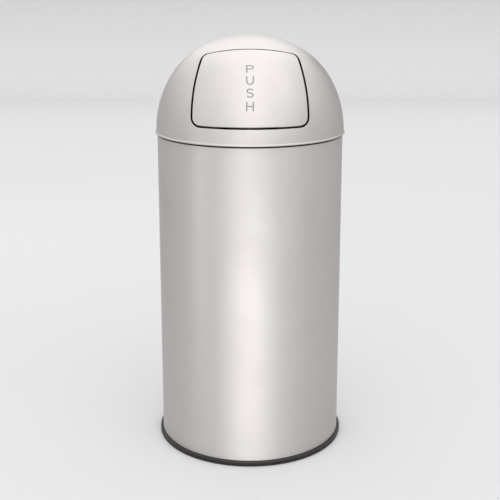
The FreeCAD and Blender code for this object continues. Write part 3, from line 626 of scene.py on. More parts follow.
def face_outwards(piece, upwards=False):
    """Merges doubles and turns every face outwards; an open skin may be turned upwards."""
    shape = bmesh.new()
    shape.from_mesh(piece.data)
    loose = [v for v in shape.verts if not v.link_faces]
    bmesh.ops.delete(shape, geom=loose, context="VERTS")
    bmesh.ops.remove_doubles(shape, verts=shape.verts, dist=DOUBLES)
    bmesh.ops.recalc_face_normals(shape, faces=shape.faces)
    if upwards and max(shape.faces, key=lambda f: f.calc_center_median().z).normal.z < 0:
        bmesh.ops.reverse_faces(shape, faces=shape.faces)
    shape.to_mesh(piece.data)
    shape.free()
    return piece


def mesh_points(piece):
    """All points of a piece's mesh, one in each row."""
    places = np.zeros(len(piece.data.vertices) * 3)
    piece.data.vertices.foreach_get("co", places)
    return places.reshape(-1, 3)


def heights(piece):
    """The height of every point of a piece's mesh."""
    return mesh_points(piece)[:, 2]


def rise_between(values, low, high):
    """0 below the low value, 1 above the high one, and a soft step between them."""
    share = ((values - low) / (high - low)).clip(0, 1)
    return share * share * (3 - 2 * share)


def mark_painted_shade(piece, strength):
    """Stores the painted shade of each point, in grooves, under beads and in troughs; the metals darken
    their colour there.
    """
    layer = piece.data.attributes.new("painted_shade", "FLOAT", "POINT")
    layer.data.foreach_set("value", np.asarray(strength, np.float32))


# %% A profile from lines and arcs
def arc_points(centre, radius, first, last, count=9):
    """Points (radius, height) on an arc, angles in degrees from the outward direction."""
    angles = np.radians(np.linspace(first, last, count))
    return [(centre[0] + radius * math.cos(a), centre[1] + radius * math.sin(a)) for a in angles]


def turned(name, profile, columns, finish):
    """A closed profile turned about the can's axis."""
    source = path_piece(name, [(r, 0.0, z) for r, z in profile])
    return face_outwards(run_tree(source, turning, Columns=columns, Finish=finish))


# %% [markdown]
# ## The can
#
# The can is one sheet, rolled round and welded up the back. Its top edge is curled
# inwards so that nobody is cut by it, and its foot stands in the ring. The profile goes
# up the outside, over the curl and down the inside. The groove under the dome and the
# ledge of the ring lie in shadow, and that shade is painted: the points there are marked,
# and the metal's colour is darker where the mark is.

# %% Turn the can
CURL_OUTER = 1.8 * MM
CURL_INNER = 0.8 * MM
CURL_WIDTH = 3.2 * MM
CURL_DEPTH = 3.6 * MM
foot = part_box("body_shell")[0].z
ring_top = 8.3 * MM
curl_inside = CAN_RADIUS - CURL_WIDTH
WALL_LEVELS = np.linspace(0.05, 0.95, 10) * seam
INSIDE_LEVELS = np.linspace(seam - CURL_DEPTH, foot, 12)
SEAM_SHADE = (seam - 3.0 * MM, seam - 2.2 * MM)
RIM_CLEAR = (seam - 0.8 * MM, seam - 0.1 * MM)
OUTSIDE_ONLY = (CAN_RADIUS - 1.4 * MM, CAN_RADIUS - 0.9 * MM)
LEDGE_SHADE = (ring_top + 0.3 * MM, ring_top + 1.2 * MM)
CAN_COLUMNS = 288


def can_profile():
    """The can's section from the foot, up and over the curl, to the foot again."""
    wall = [(CAN_RADIUS, z) for z in np.r_[foot, LEDGE_SHADE, WALL_LEVELS, SEAM_SHADE]]
    middle = curl_inside + CURL_INNER
    top = arc_points((CAN_RADIUS - CURL_OUTER, seam - CURL_OUTER), CURL_OUTER, 0, 90)
    top += arc_points((middle, seam - CURL_INNER), CURL_INNER, 90, 180)
    top += arc_points((middle, seam - CURL_DEPTH + CURL_INNER), CURL_INNER, 180, 270)
    inside = [(CAN_RADIUS - SHEET, z) for z in INSIDE_LEVELS]
    return wall + top + inside + [(CAN_RADIUS, foot)]


def can_shade(piece):
    """Painted shade for each point of the can: in the groove under the dome and at the ring's ledge."""
    levels = heights(piece)
    reach = np.hypot(*mesh_points(piece)[:, :2].T)
    groove = rise_between(levels, *SEAM_SHADE) * (1 - rise_between(levels, *RIM_CLEAR))
    groove *= rise_between(reach, *OUTSIDE_ONLY)
    return np.maximum(groove, 1 - rise_between(levels, *LEDGE_SHADE))


can = turned("can_sheet", can_profile(), CAN_COLUMNS, satin_steel)
# Painted shade: the groove under the dome's bead and the foot at the ring's ledge are darker in colour.
mark_painted_shade(can, can_shade(can))
settle(can, "can", "satin_steel", satin_steel, "body_shell")

# %% [markdown]
# ## The foot ring
#
# The ring is moulded in one piece: a rounded outside, a ledge on which the can's edge
# shows as a fine line, darkened by painted shade on the can, a groove for the sheet and a low wall
# inside.

# %% Turn the foot ring
RING_ROUND = 1.5 * MM
RING_SOFT = 0.4 * MM
RING_WIDTH = 11.5 * MM
GROOVE_ROOM = 0.1 * MM
RING_COLUMNS = 240
ring_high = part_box("base_ring")[1].z
ring_radius = 170 * MM
foot_inside = ring_radius - RING_WIDTH
groove_outside = CAN_RADIUS + GROOVE_ROOM
groove_inside = CAN_RADIUS - 2 * SHEET - 2 * GROOVE_ROOM


def ring_profile():
    """The ring's section from its inner foot, round the outside and back."""
    inner, outer = foot_inside + RING_SOFT, ring_radius - RING_ROUND
    points = arc_points((inner, RING_SOFT), RING_SOFT, 180, 270, 4)
    points += arc_points((outer, RING_ROUND), RING_ROUND, 270, 360)
    points += arc_points((outer, ring_top - RING_ROUND), RING_ROUND, 0, 90)
    points += arc_points((groove_outside + RING_SOFT, ring_top - RING_SOFT), RING_SOFT, 90, 180, 4)
    points += [(groove_outside, foot), (groove_inside, foot)]
    points += arc_points((groove_inside - RING_ROUND, ring_high - RING_ROUND), RING_ROUND, 0, 90)
    points += arc_points((inner, ring_high - RING_SOFT), RING_SOFT, 90, 180, 4)
    return points + points[:1]


ring = turned("foot_ring", ring_profile(), RING_COLUMNS, black_plastic)
settle(ring, "can", "black_plastic", black_plastic, "base_ring")

# %% [markdown]
# ## Where the mouth is
#
# The mouth and the flap have the CAD model's outline, which is read from the packed
# meshes: merged, the edges that lie on the dome's skin and fold by more than twelve
# degrees form one closed loop.


# %% Read an outline from a CAD node
FOLD = math.radians(12)
ON_SKIN = 0.15 * MM


def skin_loop(name, above):
    """The outline that a node's edge draws on the dome, as (around, length) in order."""
    shape = bmesh.new()
    shape.from_mesh(frame["nodes"][name].data)
    bmesh.ops.remove_doubles(shape, verts=shape.verts, dist=1e-6)
    on_skin = set()
    for corner in shape.verts:
        reach = math.hypot(corner.co.x, corner.co.y)
        skin_radius = float(section(length_at(corner.co.z))[0])
        if corner.co.z > above and abs(reach - skin_radius) < ON_SKIN:
            on_skin.add(corner)
    ties = {}
    for edge in shape.edges:
        first, second = edge.verts
        if first in on_skin and second in on_skin and edge.calc_face_angle(0) > FOLD:
            ties.setdefault(first, []).append(second)
            ties.setdefault(second, []).append(first)
    start = min(ties, key=lambda v: (v.co.z, abs(v.co.x)))
    loop, before = [start], None
    while True:
        following = [v for v in ties[loop[-1]] if v is not before]
        before = loop[-1]
        if not following or following[0] is start:
            break
        loop.append(following[0])
    places = np.array([(math.atan2(v.co.x, -v.co.y), length_at(v.co.z)) for v in loop])
    shape.free()
    return places


ABOVE_BEAD = seam + 15 * MM
mouth_loop = skin_loop("dome_shell", ABOVE_BEAD)
flap_loop = skin_loop("flap_panel", ABOVE_BEAD)
print("outlines:", len(mouth_loop), "and", len(flap_loop), "points")


# %% [markdown]
# ## The dome
#
# Shading on a curved sheet shows every careless face, so the dome isn't cut with a
# Boolean. A regular grid covers it, apart from a window round the mouth. There, rings of
# faces run from the window's edge to the mouth's outline, and every point still lies on
# the formula of the section. The bead and the flange at the foot are a few more rows.


# %% Rings of faces round the mouth
def densified(loop, spacing):
    """The closed loop with extra points so that none is further apart than spacing."""
    points = []
    for first, second in zip(loop, np.roll(loop, -1, axis=0)):
        count = max(1, int(np.ceil(np.linalg.norm(second - first) / spacing)))
        points += [first + (second - first) * k / count for k in range(count)]
    return np.array(points)


def seen_from(centre, loop, towards):
    """Points where rays from the centre through the given points meet the loop."""
    close = densified(loop, 0.5 * MM) - centre
    angle = np.arctan2(close[:, 1], close[:, 0])
    order = np.argsort(angle)
    reach = np.hypot(close[:, 0], close[:, 1])[order]
    ray = towards - centre
    along = np.arctan2(ray[:, 1], ray[:, 0])
    distance = np.interp(along, angle[order], reach, period=2 * math.pi)
    return centre + np.stack([np.cos(along), np.sin(along)], -1) * distance[:, None]


def window_edge(low, high, left, right):
    """Grid places (column, row) round a window, anticlockwise from its lower left."""
    edge = [(c, low) for c in range(left, right)]
    edge += [(right, r) for r in range(low, high)]
    edge += [(c, high) for c in range(right, left, -1)]
    return edge + [(left, r) for r in range(high, low, -1)]


def crowded(rings, power):
    """Shares of the way for rings of faces that come closer together as they go."""
    return [1 - (1 - ring / rings) ** power for ring in range(1, rings + 1)]


def grow_ring(points, faces, before, places, outwards=False):
    """Adds a ring of points and the faces that join it to the ring before."""
    current = list(range(len(points), len(points) + len(before)))
    points += list(places)
    for k, start in enumerate(before):
        after = (k + 1) % len(before)
        if outwards:
            faces.append((start, current[k], current[after], before[after]))
        else:
            faces.append((start, before[after], current[after], current[k]))
    return current


# %% Build the dome's outer skin
COLUMNS = 240
ROWS = 88
WINDOW_HALF = 43
WINDOW_ROWS = (4, 66)
RINGS = 16
CROWDING = 1.4
FILLET = 0.6 * MM
FLANGE_INSIDE = 161.4 * MM
MEAN_RADIUS = 140 * MM


def foot_rows():
    """Radius and height of the rows below the skirt: flange, bead and the bead's fillet."""
    centre = (DOME_RADIUS, seam + BEAD)
    lift = math.sqrt((BEAD + FILLET) ** 2 - FILLET**2)
    meet = math.degrees(math.atan2(lift, FILLET))
    rows = [(FLANGE_INSIDE, seam), ((FLANGE_INSIDE + DOME_RADIUS) / 2, seam)]
    rows += arc_points(centre, BEAD, -90, meet, 13)
    rows += arc_points((DOME_RADIUS + FILLET, centre[1] + lift), FILLET, 180 + meet, 180, 5)[1:]
    return rows


def dome_skin():
    """The dome's outer skin, from the flange's inner edge to the crown."""
    around = (np.arange(COLUMNS) - COLUMNS // 2) * 2 * math.pi / COLUMNS
    foot_places = foot_rows()
    points = [(r * math.sin(a), -r * math.cos(a), z) for r, z in foot_places for a in around]
    lengths = np.linspace(0, DOME_LENGTH, ROWS + 1)
    grid_start = len(points)
    for length in lengths:
        points += list(on_dome(around, np.full(COLUMNS, length)))
    window = (*WINDOW_ROWS, COLUMNS // 2 - WINDOW_HALF, COLUMNS // 2 + WINDOW_HALF)
    faces = strip_faces(len(foot_places) + 1, COLUMNS, closed=True)
    faces += strip_faces(ROWS + 1, COLUMNS, closed=True, first=grid_start, window=window)
    edge = window_edge(*window)
    outer = np.array([(around[c] * MEAN_RADIUS, lengths[r]) for c, r in edge])
    scaled = mouth_loop * (MEAN_RADIUS, 1.0)
    inner = seen_from(np.array([0.0, scaled[:, 1].mean()]), scaled, outer)
    before = [grid_start + r * COLUMNS + c for c, r in edge]
    for share in crowded(RINGS, CROWDING):
        places = outer + (inner - outer) * share
        ring_points = on_dome(places[:, 0] / MEAN_RADIUS, places[:, 1])
        before = grow_ring(points, faces, before, ring_points)
    return new_piece("dome_skin", points, faces)


# %% From a skin to a sheet
SHARP = math.radians(50)


def finish_skin(piece, edge_width=0.0, even=True):
    """Turns the skin outwards, then gives it the sheet's thickness and soft edges."""
    face_outwards(piece, upwards=True)
    wall = piece.modifiers.new("sheet", "SOLIDIFY")
    wall.thickness = SHEET
    wall.offset = -1
    wall.use_even_offset = even
    if edge_width:
        soft = piece.modifiers.new("soft edge", "BEVEL")
        soft.width = edge_width
        soft.segments = 2
        soft.limit_method = "ANGLE"
        soft.angle_limit = SHARP
        soft.harden_normals = True
    return applied(piece)


def map_round(piece):
    """A UV map that runs round the axis and up the sheet, with no jump inside a face."""
    mesh = piece.data
    places = mesh_points(piece)
    corner = np.zeros(len(mesh.loops), int)
    mesh.loops.foreach_get("vertex_index", corner)
    size = np.zeros(len(mesh.polygons), int)
    mesh.polygons.foreach_get("loop_total", size)
    owner = np.repeat(np.arange(len(size)), size)
    at = places[corner]
    middle = np.stack([np.bincount(owner, at[:, k]) / size for k in range(3)], -1)
    centre = np.arctan2(middle[:, 0], -middle[:, 1])[owner]
    turn = np.arctan2(at[:, 0], -at[:, 1]) - centre
    turn = (turn + math.pi) % (2 * math.pi) - math.pi
    turn[np.hypot(at[:, 0], at[:, 1]) < 1e-6] = 0
    layer = mesh.uv_layers.get("UVMap") or mesh.uv_layers.new(name="UVMap")
    pairs = np.stack([(centre + turn) / (2 * math.pi) + 0.5, length_at(at[:, 2]) / DOME_LENGTH], -1)
    layer.data.foreach_set("uv", pairs.ravel())
    return piece


# %% Make the dome
BEAD_SHADE = (seam + 0.4 * MM, seam + 0.9 * MM)
dome = map_round(finish_skin(dome_skin(), edge_width=0.15 * MM))
# Painted shade under the dome's bead and on its flange, where the dome sits on the can.
mark_painted_shade(dome, 1 - rise_between(heights(dome), *BEAD_SHADE))
settle(dome, "dome", "satin_steel", satin_dome, "dome_shell")

# %% [markdown]
# ## Letters for the flap
#
# Such flaps often carry a short stamped word, so that nobody looks for a handle. The
# letters here are plain single strokes: straight runs and arcs, each a list of points.
# A stamp leaves a shallow trough with sloping sides, and the distance from a point to
# the nearest stroke gives exactly that.

# %% Strokes of the four letters
LETTER_WIDTH = 10.6 * MM
LETTER_HEIGHT = 14.2 * MM
LETTER_PITCH = 22.6 * MM
STROKE = 1.1 * MM
SLOPE = 0.6 * MM
STAMP_DEPTH = 0.5 * MM
LOWEST_LETTER = seam + 58.5 * MM


def letter_strokes():
    """Polylines of P, U, S and H in a box of letter width and height, centred sideways."""
    half, tall = LETTER_WIDTH / 2, LETTER_HEIGHT
    bowl = tall * 0.26
    cup = half * 0.9
    turn = tall * 0.25
    loop = arc_points((half - bowl, tall - bowl), bowl, 90, -90, 13)
    p = [[(-half, 0), (-half, tall)], [(-half, tall)] + loop + [(-half, tall - 2 * bowl)]]
    u = [[(-half, tall)] + arc_points((0, half), half, 180, 360, 17) + [(half, tall)]]
    top = [(x * cup / turn, y) for x, y in arc_points((0, 0), turn, 25, 270, 17)]
    low = [(x * cup / turn, y) for x, y in arc_points((0, 0), turn, 90, -155, 17)]
    s = [[(x, y + tall - turn) for x, y in top] + [(x, y + turn) for x, y in low]]
    h = [[(-half, 0), (-half, tall)], [(half, 0), (half, tall)], [(-half, tall / 2), (half, tall / 2)]]
    return [p, u, s, h]


def stroke_distance(places):
    """Distance of each place (sideways, along the sheet) from the nearest stroke."""
    nearest = np.full(len(places), 1.0)
    start = length_at(LOWEST_LETTER)
    for count, letter in enumerate(reversed(letter_strokes())):
        origin = np.array([0.0, start + count * LETTER_PITCH])
        for line in letter:
            for first, second in zip(line, line[1:]):
                a, b = np.array(first) + origin, np.array(second) + origin
                span = b - a
                share = ((places - a) @ span / max(span @ span, 1e-12)).clip(0, 1)
                away = np.linalg.norm(places - a - share[:, None] * span, axis=1)
                nearest = np.minimum(nearest, away)
    return nearest


print("strokes:", [len(letter) for letter in letter_strokes()])

# %% [markdown]
# ## The flap
#
# The flap is pressed from the same curve as the dome. Its middle is a fine grid that
# the letters are stamped into, and rings of faces lead from there to the outline. The
# last rings roll the edge over and turn it in as a lip, which makes the thin sheet stiff
# and catches the light along the gap.


# %% Places on the flap
CORNER_CROWDING = 0.09


def on_flap(places, sunk=0.0):
    """Points of the flap's skin for places given sideways and along the sheet."""
    radius = section(places[:, 1])[0]
    around = np.arcsin((places[:, 0] / radius).clip(-1, 1))
    return on_dome(around, places[:, 1], -sunk)


def side_points(loop, first, last, count):
    """Points along the loop from one corner to the next, closer together at its ends."""
    run = loop[first:last + 1] if first < last else np.vstack([loop[first:], loop[:last + 1]])
    steps = np.r_[0, np.cumsum(np.linalg.norm(np.diff(run, axis=0), axis=1))]
    share = np.linspace(0, 1, count + 1)[:-1]
    share = share - CORNER_CROWDING * np.sin(2 * math.pi * share)
    return np.stack([np.interp(share * steps[-1], steps, run[:, k]) for k in range(2)], -1)


def outline_points(loop, columns, rows):
    """The outline anticlockwise from its lower left corner, in four counted sides."""
    radius = section(loop[:, 1])[0]
    flat = densified(np.stack([radius * np.sin(loop[:, 0]), loop[:, 1]], -1), 0.4 * MM)
    area = flat[:, 0] @ np.roll(flat[:, 1], -1) - np.roll(flat[:, 0], -1) @ flat[:, 1]
    if area < 0:
        flat = flat[::-1]
    x, s = flat.T
    corners = [int(np.argmax(k)) for k in (-x - s, x - s, x + s, s - x)]
    sides = zip(corners, np.roll(corners, -1), (columns, rows, columns, rows))
    return np.vstack([side_points(flat, first, last, count) for first, last, count in sides])


# %% The fine grid that the letters are stamped into
CELL = 0.35 * MM
STAMP_COLUMNS = 68
STAMP_ROWS = 274
STAMP_MARGIN = 4 * MM


def stamped_middle():
    """Places of the flap's middle grid, and how deep each one is stamped."""
    low = length_at(LOWEST_LETTER) - STAMP_MARGIN
    x, s = np.meshgrid(
        (np.arange(STAMP_COLUMNS + 1) - STAMP_COLUMNS // 2) * CELL,
        low + np.arange(STAMP_ROWS + 1) * CELL,
    )
    middle = np.stack([x.ravel(), s.ravel()], -1)
    return middle, 1 - rise_between(stroke_distance(middle), STROKE / 2, STROKE / 2 + SLOPE)


# %% The rolled edge and its lip
ROLL = 1.0 * MM
ROLL_STEPS = 5
LIP = 7 * MM
LIP_STEPS = 4
SHORT_LIP = 1.6 * MM
LIP_FADE = (seam + 116 * MM, seam + 126 * MM)


def unit(vectors):
    """The vectors, each made one long."""
    return vectors / np.linalg.norm(vectors, axis=1)[:, None]


def rolled_edge(outline):
    """Rings that roll the sheet over at the outline and turn it straight back as a lip."""
    skin = on_flap(outline)
    along = unit(np.roll(skin, -1, axis=0) - np.roll(skin, 1, axis=0))
    outward = on_flap(outline, -1.0) - skin
    aside = np.cross(along, outward)
    back = unit(np.array([0.0, 1.0, 0.0]) - along * along[:, 1:2])
    fold = np.arccos((back * aside).sum(1).clip(-1, 1))[:, None]
    start = skin - aside * ROLL * np.tan(fold / 2)
    rings = []
    for turn in [fold * step / ROLL_STEPS for step in range(ROLL_STEPS + 1)]:
        rings.append(start + ROLL * (aside * np.sin(turn) - outward * (1 - np.cos(turn))))
    depth = LIP + (SHORT_LIP - LIP) * rise_between(skin[:, 2:], *LIP_FADE)
    straight = (depth - ROLL * (1 - np.cos(fold))) / np.sin(fold)
    rolled = rings[-1]
    return rings + [rolled + back * straight * step / LIP_STEPS for step in range(1, LIP_STEPS + 1)]


# %% Build the flap
FLAP_RINGS = 16
FLAP_CROWDING = 1.3


def flap_skin():
    """The flap's outer skin: stamped middle, rings to the outline, rolled edge."""
    middle, trough = stamped_middle()
    points = list(on_flap(middle, trough * STAMP_DEPTH))
    faces = strip_faces(STAMP_ROWS + 1, STAMP_COLUMNS + 1)
    before = [r * (STAMP_COLUMNS + 1) + c for c, r in window_edge(0, STAMP_ROWS, 0, STAMP_COLUMNS)]
    inner = middle[before]
    outline = outline_points(flap_loop, STAMP_COLUMNS, STAMP_ROWS)
    shares = crowded(FLAP_RINGS, FLAP_CROWDING)[:-1]
    rings = [on_flap(inner + (outline - inner) * share) for share in shares]
    for ring_points in rings + rolled_edge(outline):
        before = grow_ring(points, faces, before, ring_points, outwards=True)
    piece = new_piece("flap_skin", points, faces)
    # Painted shade in the troughs of the stamped letters: their colour darkens with the stamp's depth.
    mark_painted_shade(piece, np.r_[trough, np.zeros(len(points) - len(trough))])
    return piece


flap = map_round(finish_skin(flap_skin(), even=False))
settle(flap, "flap", "satin_steel", satin_flap, "flap_panel")

# %% [markdown]
# ## Drawn wire
#
# A torsion spring is one length of wire: a leg that bears on the dome, the coils round
# the hinge rod, and a leg that bears on the flap. Drawn as a path it needs one rule only,
# a round section that follows the path, and Geometry Nodes has a node for exactly that.

# %% The wire tree
def make_wire_tree():
    """A round section drawn along a path."""
    tree, given, out = geometry_group(
        "drawn wire", ("Path", GEOMETRY, None), ("Radius", FLOAT, 0.8 * MM), ("Sides", WHOLE, 12),
    )
    path = add(tree, "GeometryNodeMeshToCurve", {"Mesh": given.outputs["Path"]})
    circle = add(tree, "GeometryNodeCurvePrimitiveCircle", {
        "Resolution": given.outputs["Sides"], "Radius": given.outputs["Radius"],
    }, mode="RADIUS")
    drawn = add(tree, "GeometryNodeCurveToMesh", {
        "Curve": path.outputs[0], "Profile Curve": circle.outputs[0], "Fill Caps": True,
    })
    return end_tree(tree, given, out, drawn.outputs[0])


drawn_wire = make_wire_tree()

# %% [markdown]
# ## The hinge springs
#
# The legs are straight and end just short of the sheet that they press on, so each one is
# followed until only that distance is left. In the can, the flap turns one end of a spring
# and the dome holds the other; here the spring keeps one shape.

# %% Wind the two springs
SPRING_WIRE = 0.8 * MM
COIL = 5.0 * MM
COIL_TURNS = 6.79
COIL_LENGTH = 1.9 * MM * COIL_TURNS
COIL_POINTS = 230
WIRE_SIDES = 12
LONGEST_LEG = 60 * MM
LEG_STEPS = 601
FIXED_LEG_DEPTH = SHEET + 1.1 * MM
LOOSE_LEG_DEPTH = 3.6 * MM
rod_low, rod_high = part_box("hinge_rod")
pivot = np.array((rod_low + rod_high) / 2)
coil_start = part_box("spring_right")[0].x + SPRING_WIRE


def cover(places):
    """How far places lie below the dome's outer skin."""
    radius, _, turn = section(length_at(places[:, 2]))
    return (radius - np.hypot(places[:, 0], places[:, 1])) * np.cos(turn)


def leg_end(start, towards, depth):
    """Where a straight leg comes to within a depth of the dome's outer skin."""
    places = start + np.linspace(0, LONGEST_LEG, LEG_STEPS)[:, None] * towards
    return places[np.argmax(cover(places) < depth) - 1]


def spring_path():
    """The right spring's wire: the dome's leg, the coils and the flap's leg."""
    turns = np.radians(180 + np.linspace(0, 360 * COIL_TURNS, COIL_POINTS))
    along = np.linspace(coil_start, coil_start + COIL_LENGTH, COIL_POINTS)
    coils = np.stack([
        along, pivot[1] + COIL * np.cos(turns), pivot[2] + COIL * np.sin(turns),
    ], -1)
    onward = np.array([0.0, -math.sin(turns[-1]), math.cos(turns[-1])])
    fixed = leg_end(coils[0], np.array([0.0, 0.0, 1.0]), FIXED_LEG_DEPTH)
    loose = leg_end(coils[-1], onward, LOOSE_LEG_DEPTH)
    return np.vstack([fixed, coils, loose])


def wind_spring(name, node, side):
    """A spring on one side, with legs that bear on the dome and on the flap."""
    spring = path_piece(name, spring_path() * (side, 1, 1))
    run_tree(spring, drawn_wire, Radius=SPRING_WIRE, Sides=WIRE_SIDES, Finish=wire_steel)
    dress(face_outwards(spring), "spring_steel", wire_steel, node)
    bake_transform(spring)
    print(f"{name}: {len(spring.data.polygons)} faces")


wind_spring("hinge_spring_right", "spring_right", 1)
wind_spring("hinge_spring_left", "spring_left", -1)

# %% [markdown]
# ## The sleeve on the bail
#
# The bail is carried by a plastic sleeve. Its grooves keep a wet hand from slipping, and
# its ends are rounded. It is a bent tube whose radius is a function of the length.

# %% Bend the sleeve
GROOVE_PITCH = 5.4 * MM
GROOVE_DEPTH = 0.55 * MM
END_ROUND = 1.4 * MM
SLEEVE_BORE = 2.55 * MM
SLEEVE_ROWS = 180
SLEEVE_SIDES = 32
grip_low, grip_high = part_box("bail_grip")
grip_radius = (grip_high.z - grip_low.z) / 2
grip_bow = grip_high.y - grip_radius
grip_half = math.asin(grip_high.x / (grip_bow + grip_radius))


def sleeve_radii(turn):
    """The sleeve's outer radius: grooves along it, and a round at either end."""
    length = turn * grip_bow
    groove = (0.5 + 0.5 * np.cos(2 * math.pi * length / GROOVE_PITCH)) ** 3
    to_end = ((grip_half * grip_bow - abs(length)) / END_ROUND).clip(0, 1)
    plain = grip_radius - END_ROUND * (1 - np.sqrt(1 - (1 - to_end) ** 2))
    return plain - GROOVE_DEPTH * groove * (to_end >= 1)


def sleeve_skin():
    """The outside from end to end, then the bore back to the start."""
    turn = np.linspace(-grip_half, grip_half, SLEEVE_ROWS)
    bore = np.full(SLEEVE_ROWS, SLEEVE_BORE)
    section_angle = np.arange(SLEEVE_SIDES) * 2 * math.pi / SLEEVE_SIDES
    points = []
    for radii, angles in ((sleeve_radii(turn), turn), (bore, turn[::-1])):
        for radius, angle in zip(radii, angles):
            reach = grip_bow + radius * np.cos(section_angle)
            height = grip_low.z + grip_radius + radius * np.sin(section_angle)
            points += list(np.stack([reach * math.sin(angle), reach * math.cos(angle), height], -1))
    faces = strip_faces(2 * SLEEVE_ROWS, SLEEVE_SIDES, closed=True)
    last = (2 * SLEEVE_ROWS - 1) * SLEEVE_SIDES
    for k in range(SLEEVE_SIDES):
        after = (k + 1) % SLEEVE_SIDES
        faces.append((last + k, last + after, after, k))
    return face_outwards(new_piece("bail_sleeve", points, faces))


settle(sleeve_skin(), "bail", "grip_plastic", grip_plastic, "bail_grip")

# %% [markdown]
# ## The weld up the back
#
# Where the can's sheet meets itself there is a weld, ground nearly flush. What stays is a
# narrow band with the faint ripple of the weld pool, so a strip follows the wall and
# stands a tenth of a millimetre proud of it.

# %% Lay the weld
WELD_FOOT = ring_top + 1.5 * MM
WELD_TOP = seam - 4 * MM
WELD_HALF = 1.6 * MM
WELD_RISE = 0.11 * MM
WELD_SUNK = 0.05 * MM
WELD_PITCH = 2.4 * MM
WELD_END = 3 * MM
WELD_ROWS = 1100
WELD_COLUMNS = 9
RIPPLE = 0.25
WANDER = ((0.12 * MM, 41, 0), (0.08 * MM, 97, 1))
TOE_SHADE = 0.35


def weld_strip():
    """A rippled band up the wall that wanders a little and runs out at both ends."""
    levels = np.linspace(WELD_FOOT, WELD_TOP, WELD_ROWS)
    across = np.linspace(-1, 1, WELD_COLUMNS)
    ripple = 1 + RIPPLE * np.sin(2 * math.pi * levels / WELD_PITCH)
    wander = sum(size * np.sin(levels * rate + phase) for size, rate, phase in WANDER)
    ends = rise_between(levels, WELD_FOOT, WELD_FOOT + WELD_END)
    ends *= 1 - rise_between(levels, WELD_TOP - WELD_END, WELD_TOP)
    points = []
    for level, wave, aside, end in zip(levels, ripple, wander, ends):
        rise = (WELD_RISE * wave * end + WELD_SUNK) * (1 - across**2)
        reach = CAN_RADIUS - WELD_SUNK + rise
        angle = (aside + across * WELD_HALF) / CAN_RADIUS
        height = np.full(WELD_COLUMNS, level)
        points += list(np.stack([reach * np.sin(angle), reach * np.cos(angle), height], -1))
    piece = new_piece("can_weld", points, strip_faces(WELD_ROWS, WELD_COLUMNS))
    # Painted shade along the weld's toes, darkest at its edges where it meets the wall.
    mark_painted_shade(piece, np.tile(TOE_SHADE * abs(across) ** 3, WELD_ROWS))
    return map_round(face_outwards(piece))


settle(weld_strip(), "can", "satin_steel", satin_steel)

# %% [markdown]
# ## Spot welds
#
# Brackets, arms and collar are spot welded to the sheet. A spot weld leaves a small round
# button, always the same, so one flattened ball is copied to a cloud of points and
# turned to face the way each point's sheet faces.

# %% The spot weld tree
def make_spot_tree():
    """One button on every point, turned to the point's facing."""
    tree, given, out = geometry_group(
        "spot welds", ("Places", GEOMETRY, None), ("Radius", FLOAT, 2 * MM), ("Height", FLOAT, 0.3 * MM),
    )
    button = add(tree, "GeometryNodeMeshUVSphere", {"Segments": 20, "Rings": 10, "Radius": 1.0})
    size = add(tree, "ShaderNodeCombineXYZ", {
        "X": given.outputs["Radius"], "Y": given.outputs["Radius"], "Z": given.outputs["Height"],
    })
    facing = add(tree, "GeometryNodeInputNamedAttribute", {"Name": "facing"}, data_type="FLOAT_VECTOR")
    turn = add(tree, "FunctionNodeAlignRotationToVector", {"Vector": facing.outputs[0]}, axis="Z")
    points = add(tree, "GeometryNodeMeshToPoints", {"Mesh": given.outputs["Places"]})
    copies = add(tree, "GeometryNodeInstanceOnPoints", {
        "Points": points.outputs[0], "Instance": button.outputs["Mesh"],
        "Rotation": turn.outputs[0], "Scale": size.outputs[0],
    })
    return end_tree(tree, given, out, copies.outputs[0])


spot_tree = make_spot_tree()


# %% Place the spot welds
SPOT_RADIUS = 1.9 * MM
SPOT_HEIGHT = 0.28 * MM
PAD_DEPTH = 2.4 * MM
COLLAR_SPOTS = 24
COLLAR_RADIUS = 163 * MM
COLLAR_RISE = 1.6 * MM


def pad_spots(asides, drops):
    """Spots on both sides of the middle, at distances in mm sideways and under the top."""
    spots = [(side * x * MM, dome_top - d * MM) for side in (-1, 1) for x in asides for d in drops]
    sideways, height = np.array(spots).T
    length = length_at(height)
    around = np.arcsin(sideways / section(length)[0])
    outward = on_dome(around, length, 1.0) - on_dome(around, length)
    return on_dome(around, length, -PAD_DEPTH), -outward


def collar_spots():
    """Spots on the flange all round, facing up."""
    turn = np.arange(COLLAR_SPOTS) * 2 * math.pi / COLLAR_SPOTS
    height = np.full(COLLAR_SPOTS, seam + COLLAR_RISE)
    places = np.stack([COLLAR_RADIUS * np.sin(turn), COLLAR_RADIUS * np.cos(turn), height], -1)
    return places, np.tile([0.0, 0.0, 1.0], (COLLAR_SPOTS, 1))


def spot_welds(name, body, *groups):
    """One piece with a button on every spot of the groups."""
    points, facing = (np.vstack(both) for both in zip(*groups))
    piece = new_piece(name, points, [])
    layer = piece.data.attributes.new("facing", "FLOAT_VECTOR", "POINT")
    layer.data.foreach_set("vector", facing.astype(np.float32).ravel())
    run_tree(piece, spot_tree, Radius=SPOT_RADIUS, Height=SPOT_HEIGHT, Finish=weld_steel)
    settle(face_outwards(piece), body, "plain_steel", weld_steel)


bracket_pads = pad_spots((61,), (23.0, 19.5))
arm_pads = pad_spots((41.5, 50.5), (42, 54, 66))
spot_welds("dome_spot_welds", "dome", bracket_pads, collar_spots())
spot_welds("flap_spot_welds", "flap", arm_pads)

# %% [markdown]
# ## The floor
#
# A plain pale floor shows the can best. It bends up into a low wall far behind, because
# a curve has no edge that could show. Only the camera sees it this pale: the steel
# mirrors a darker floor.

# %% The floor, swept up far behind
FLOOR_FRONT = -40.0
SWEEP_START = 5.0
SWEEP = 0.8
BACKDROP_TOP = 1.4
BACKDROP_HALF = 40.0
FLOOR_SEEN = (0.70, 0.70, 0.70, 1)
FLOOR_REFLECTED = (0.42, 0.42, 0.42, 1)


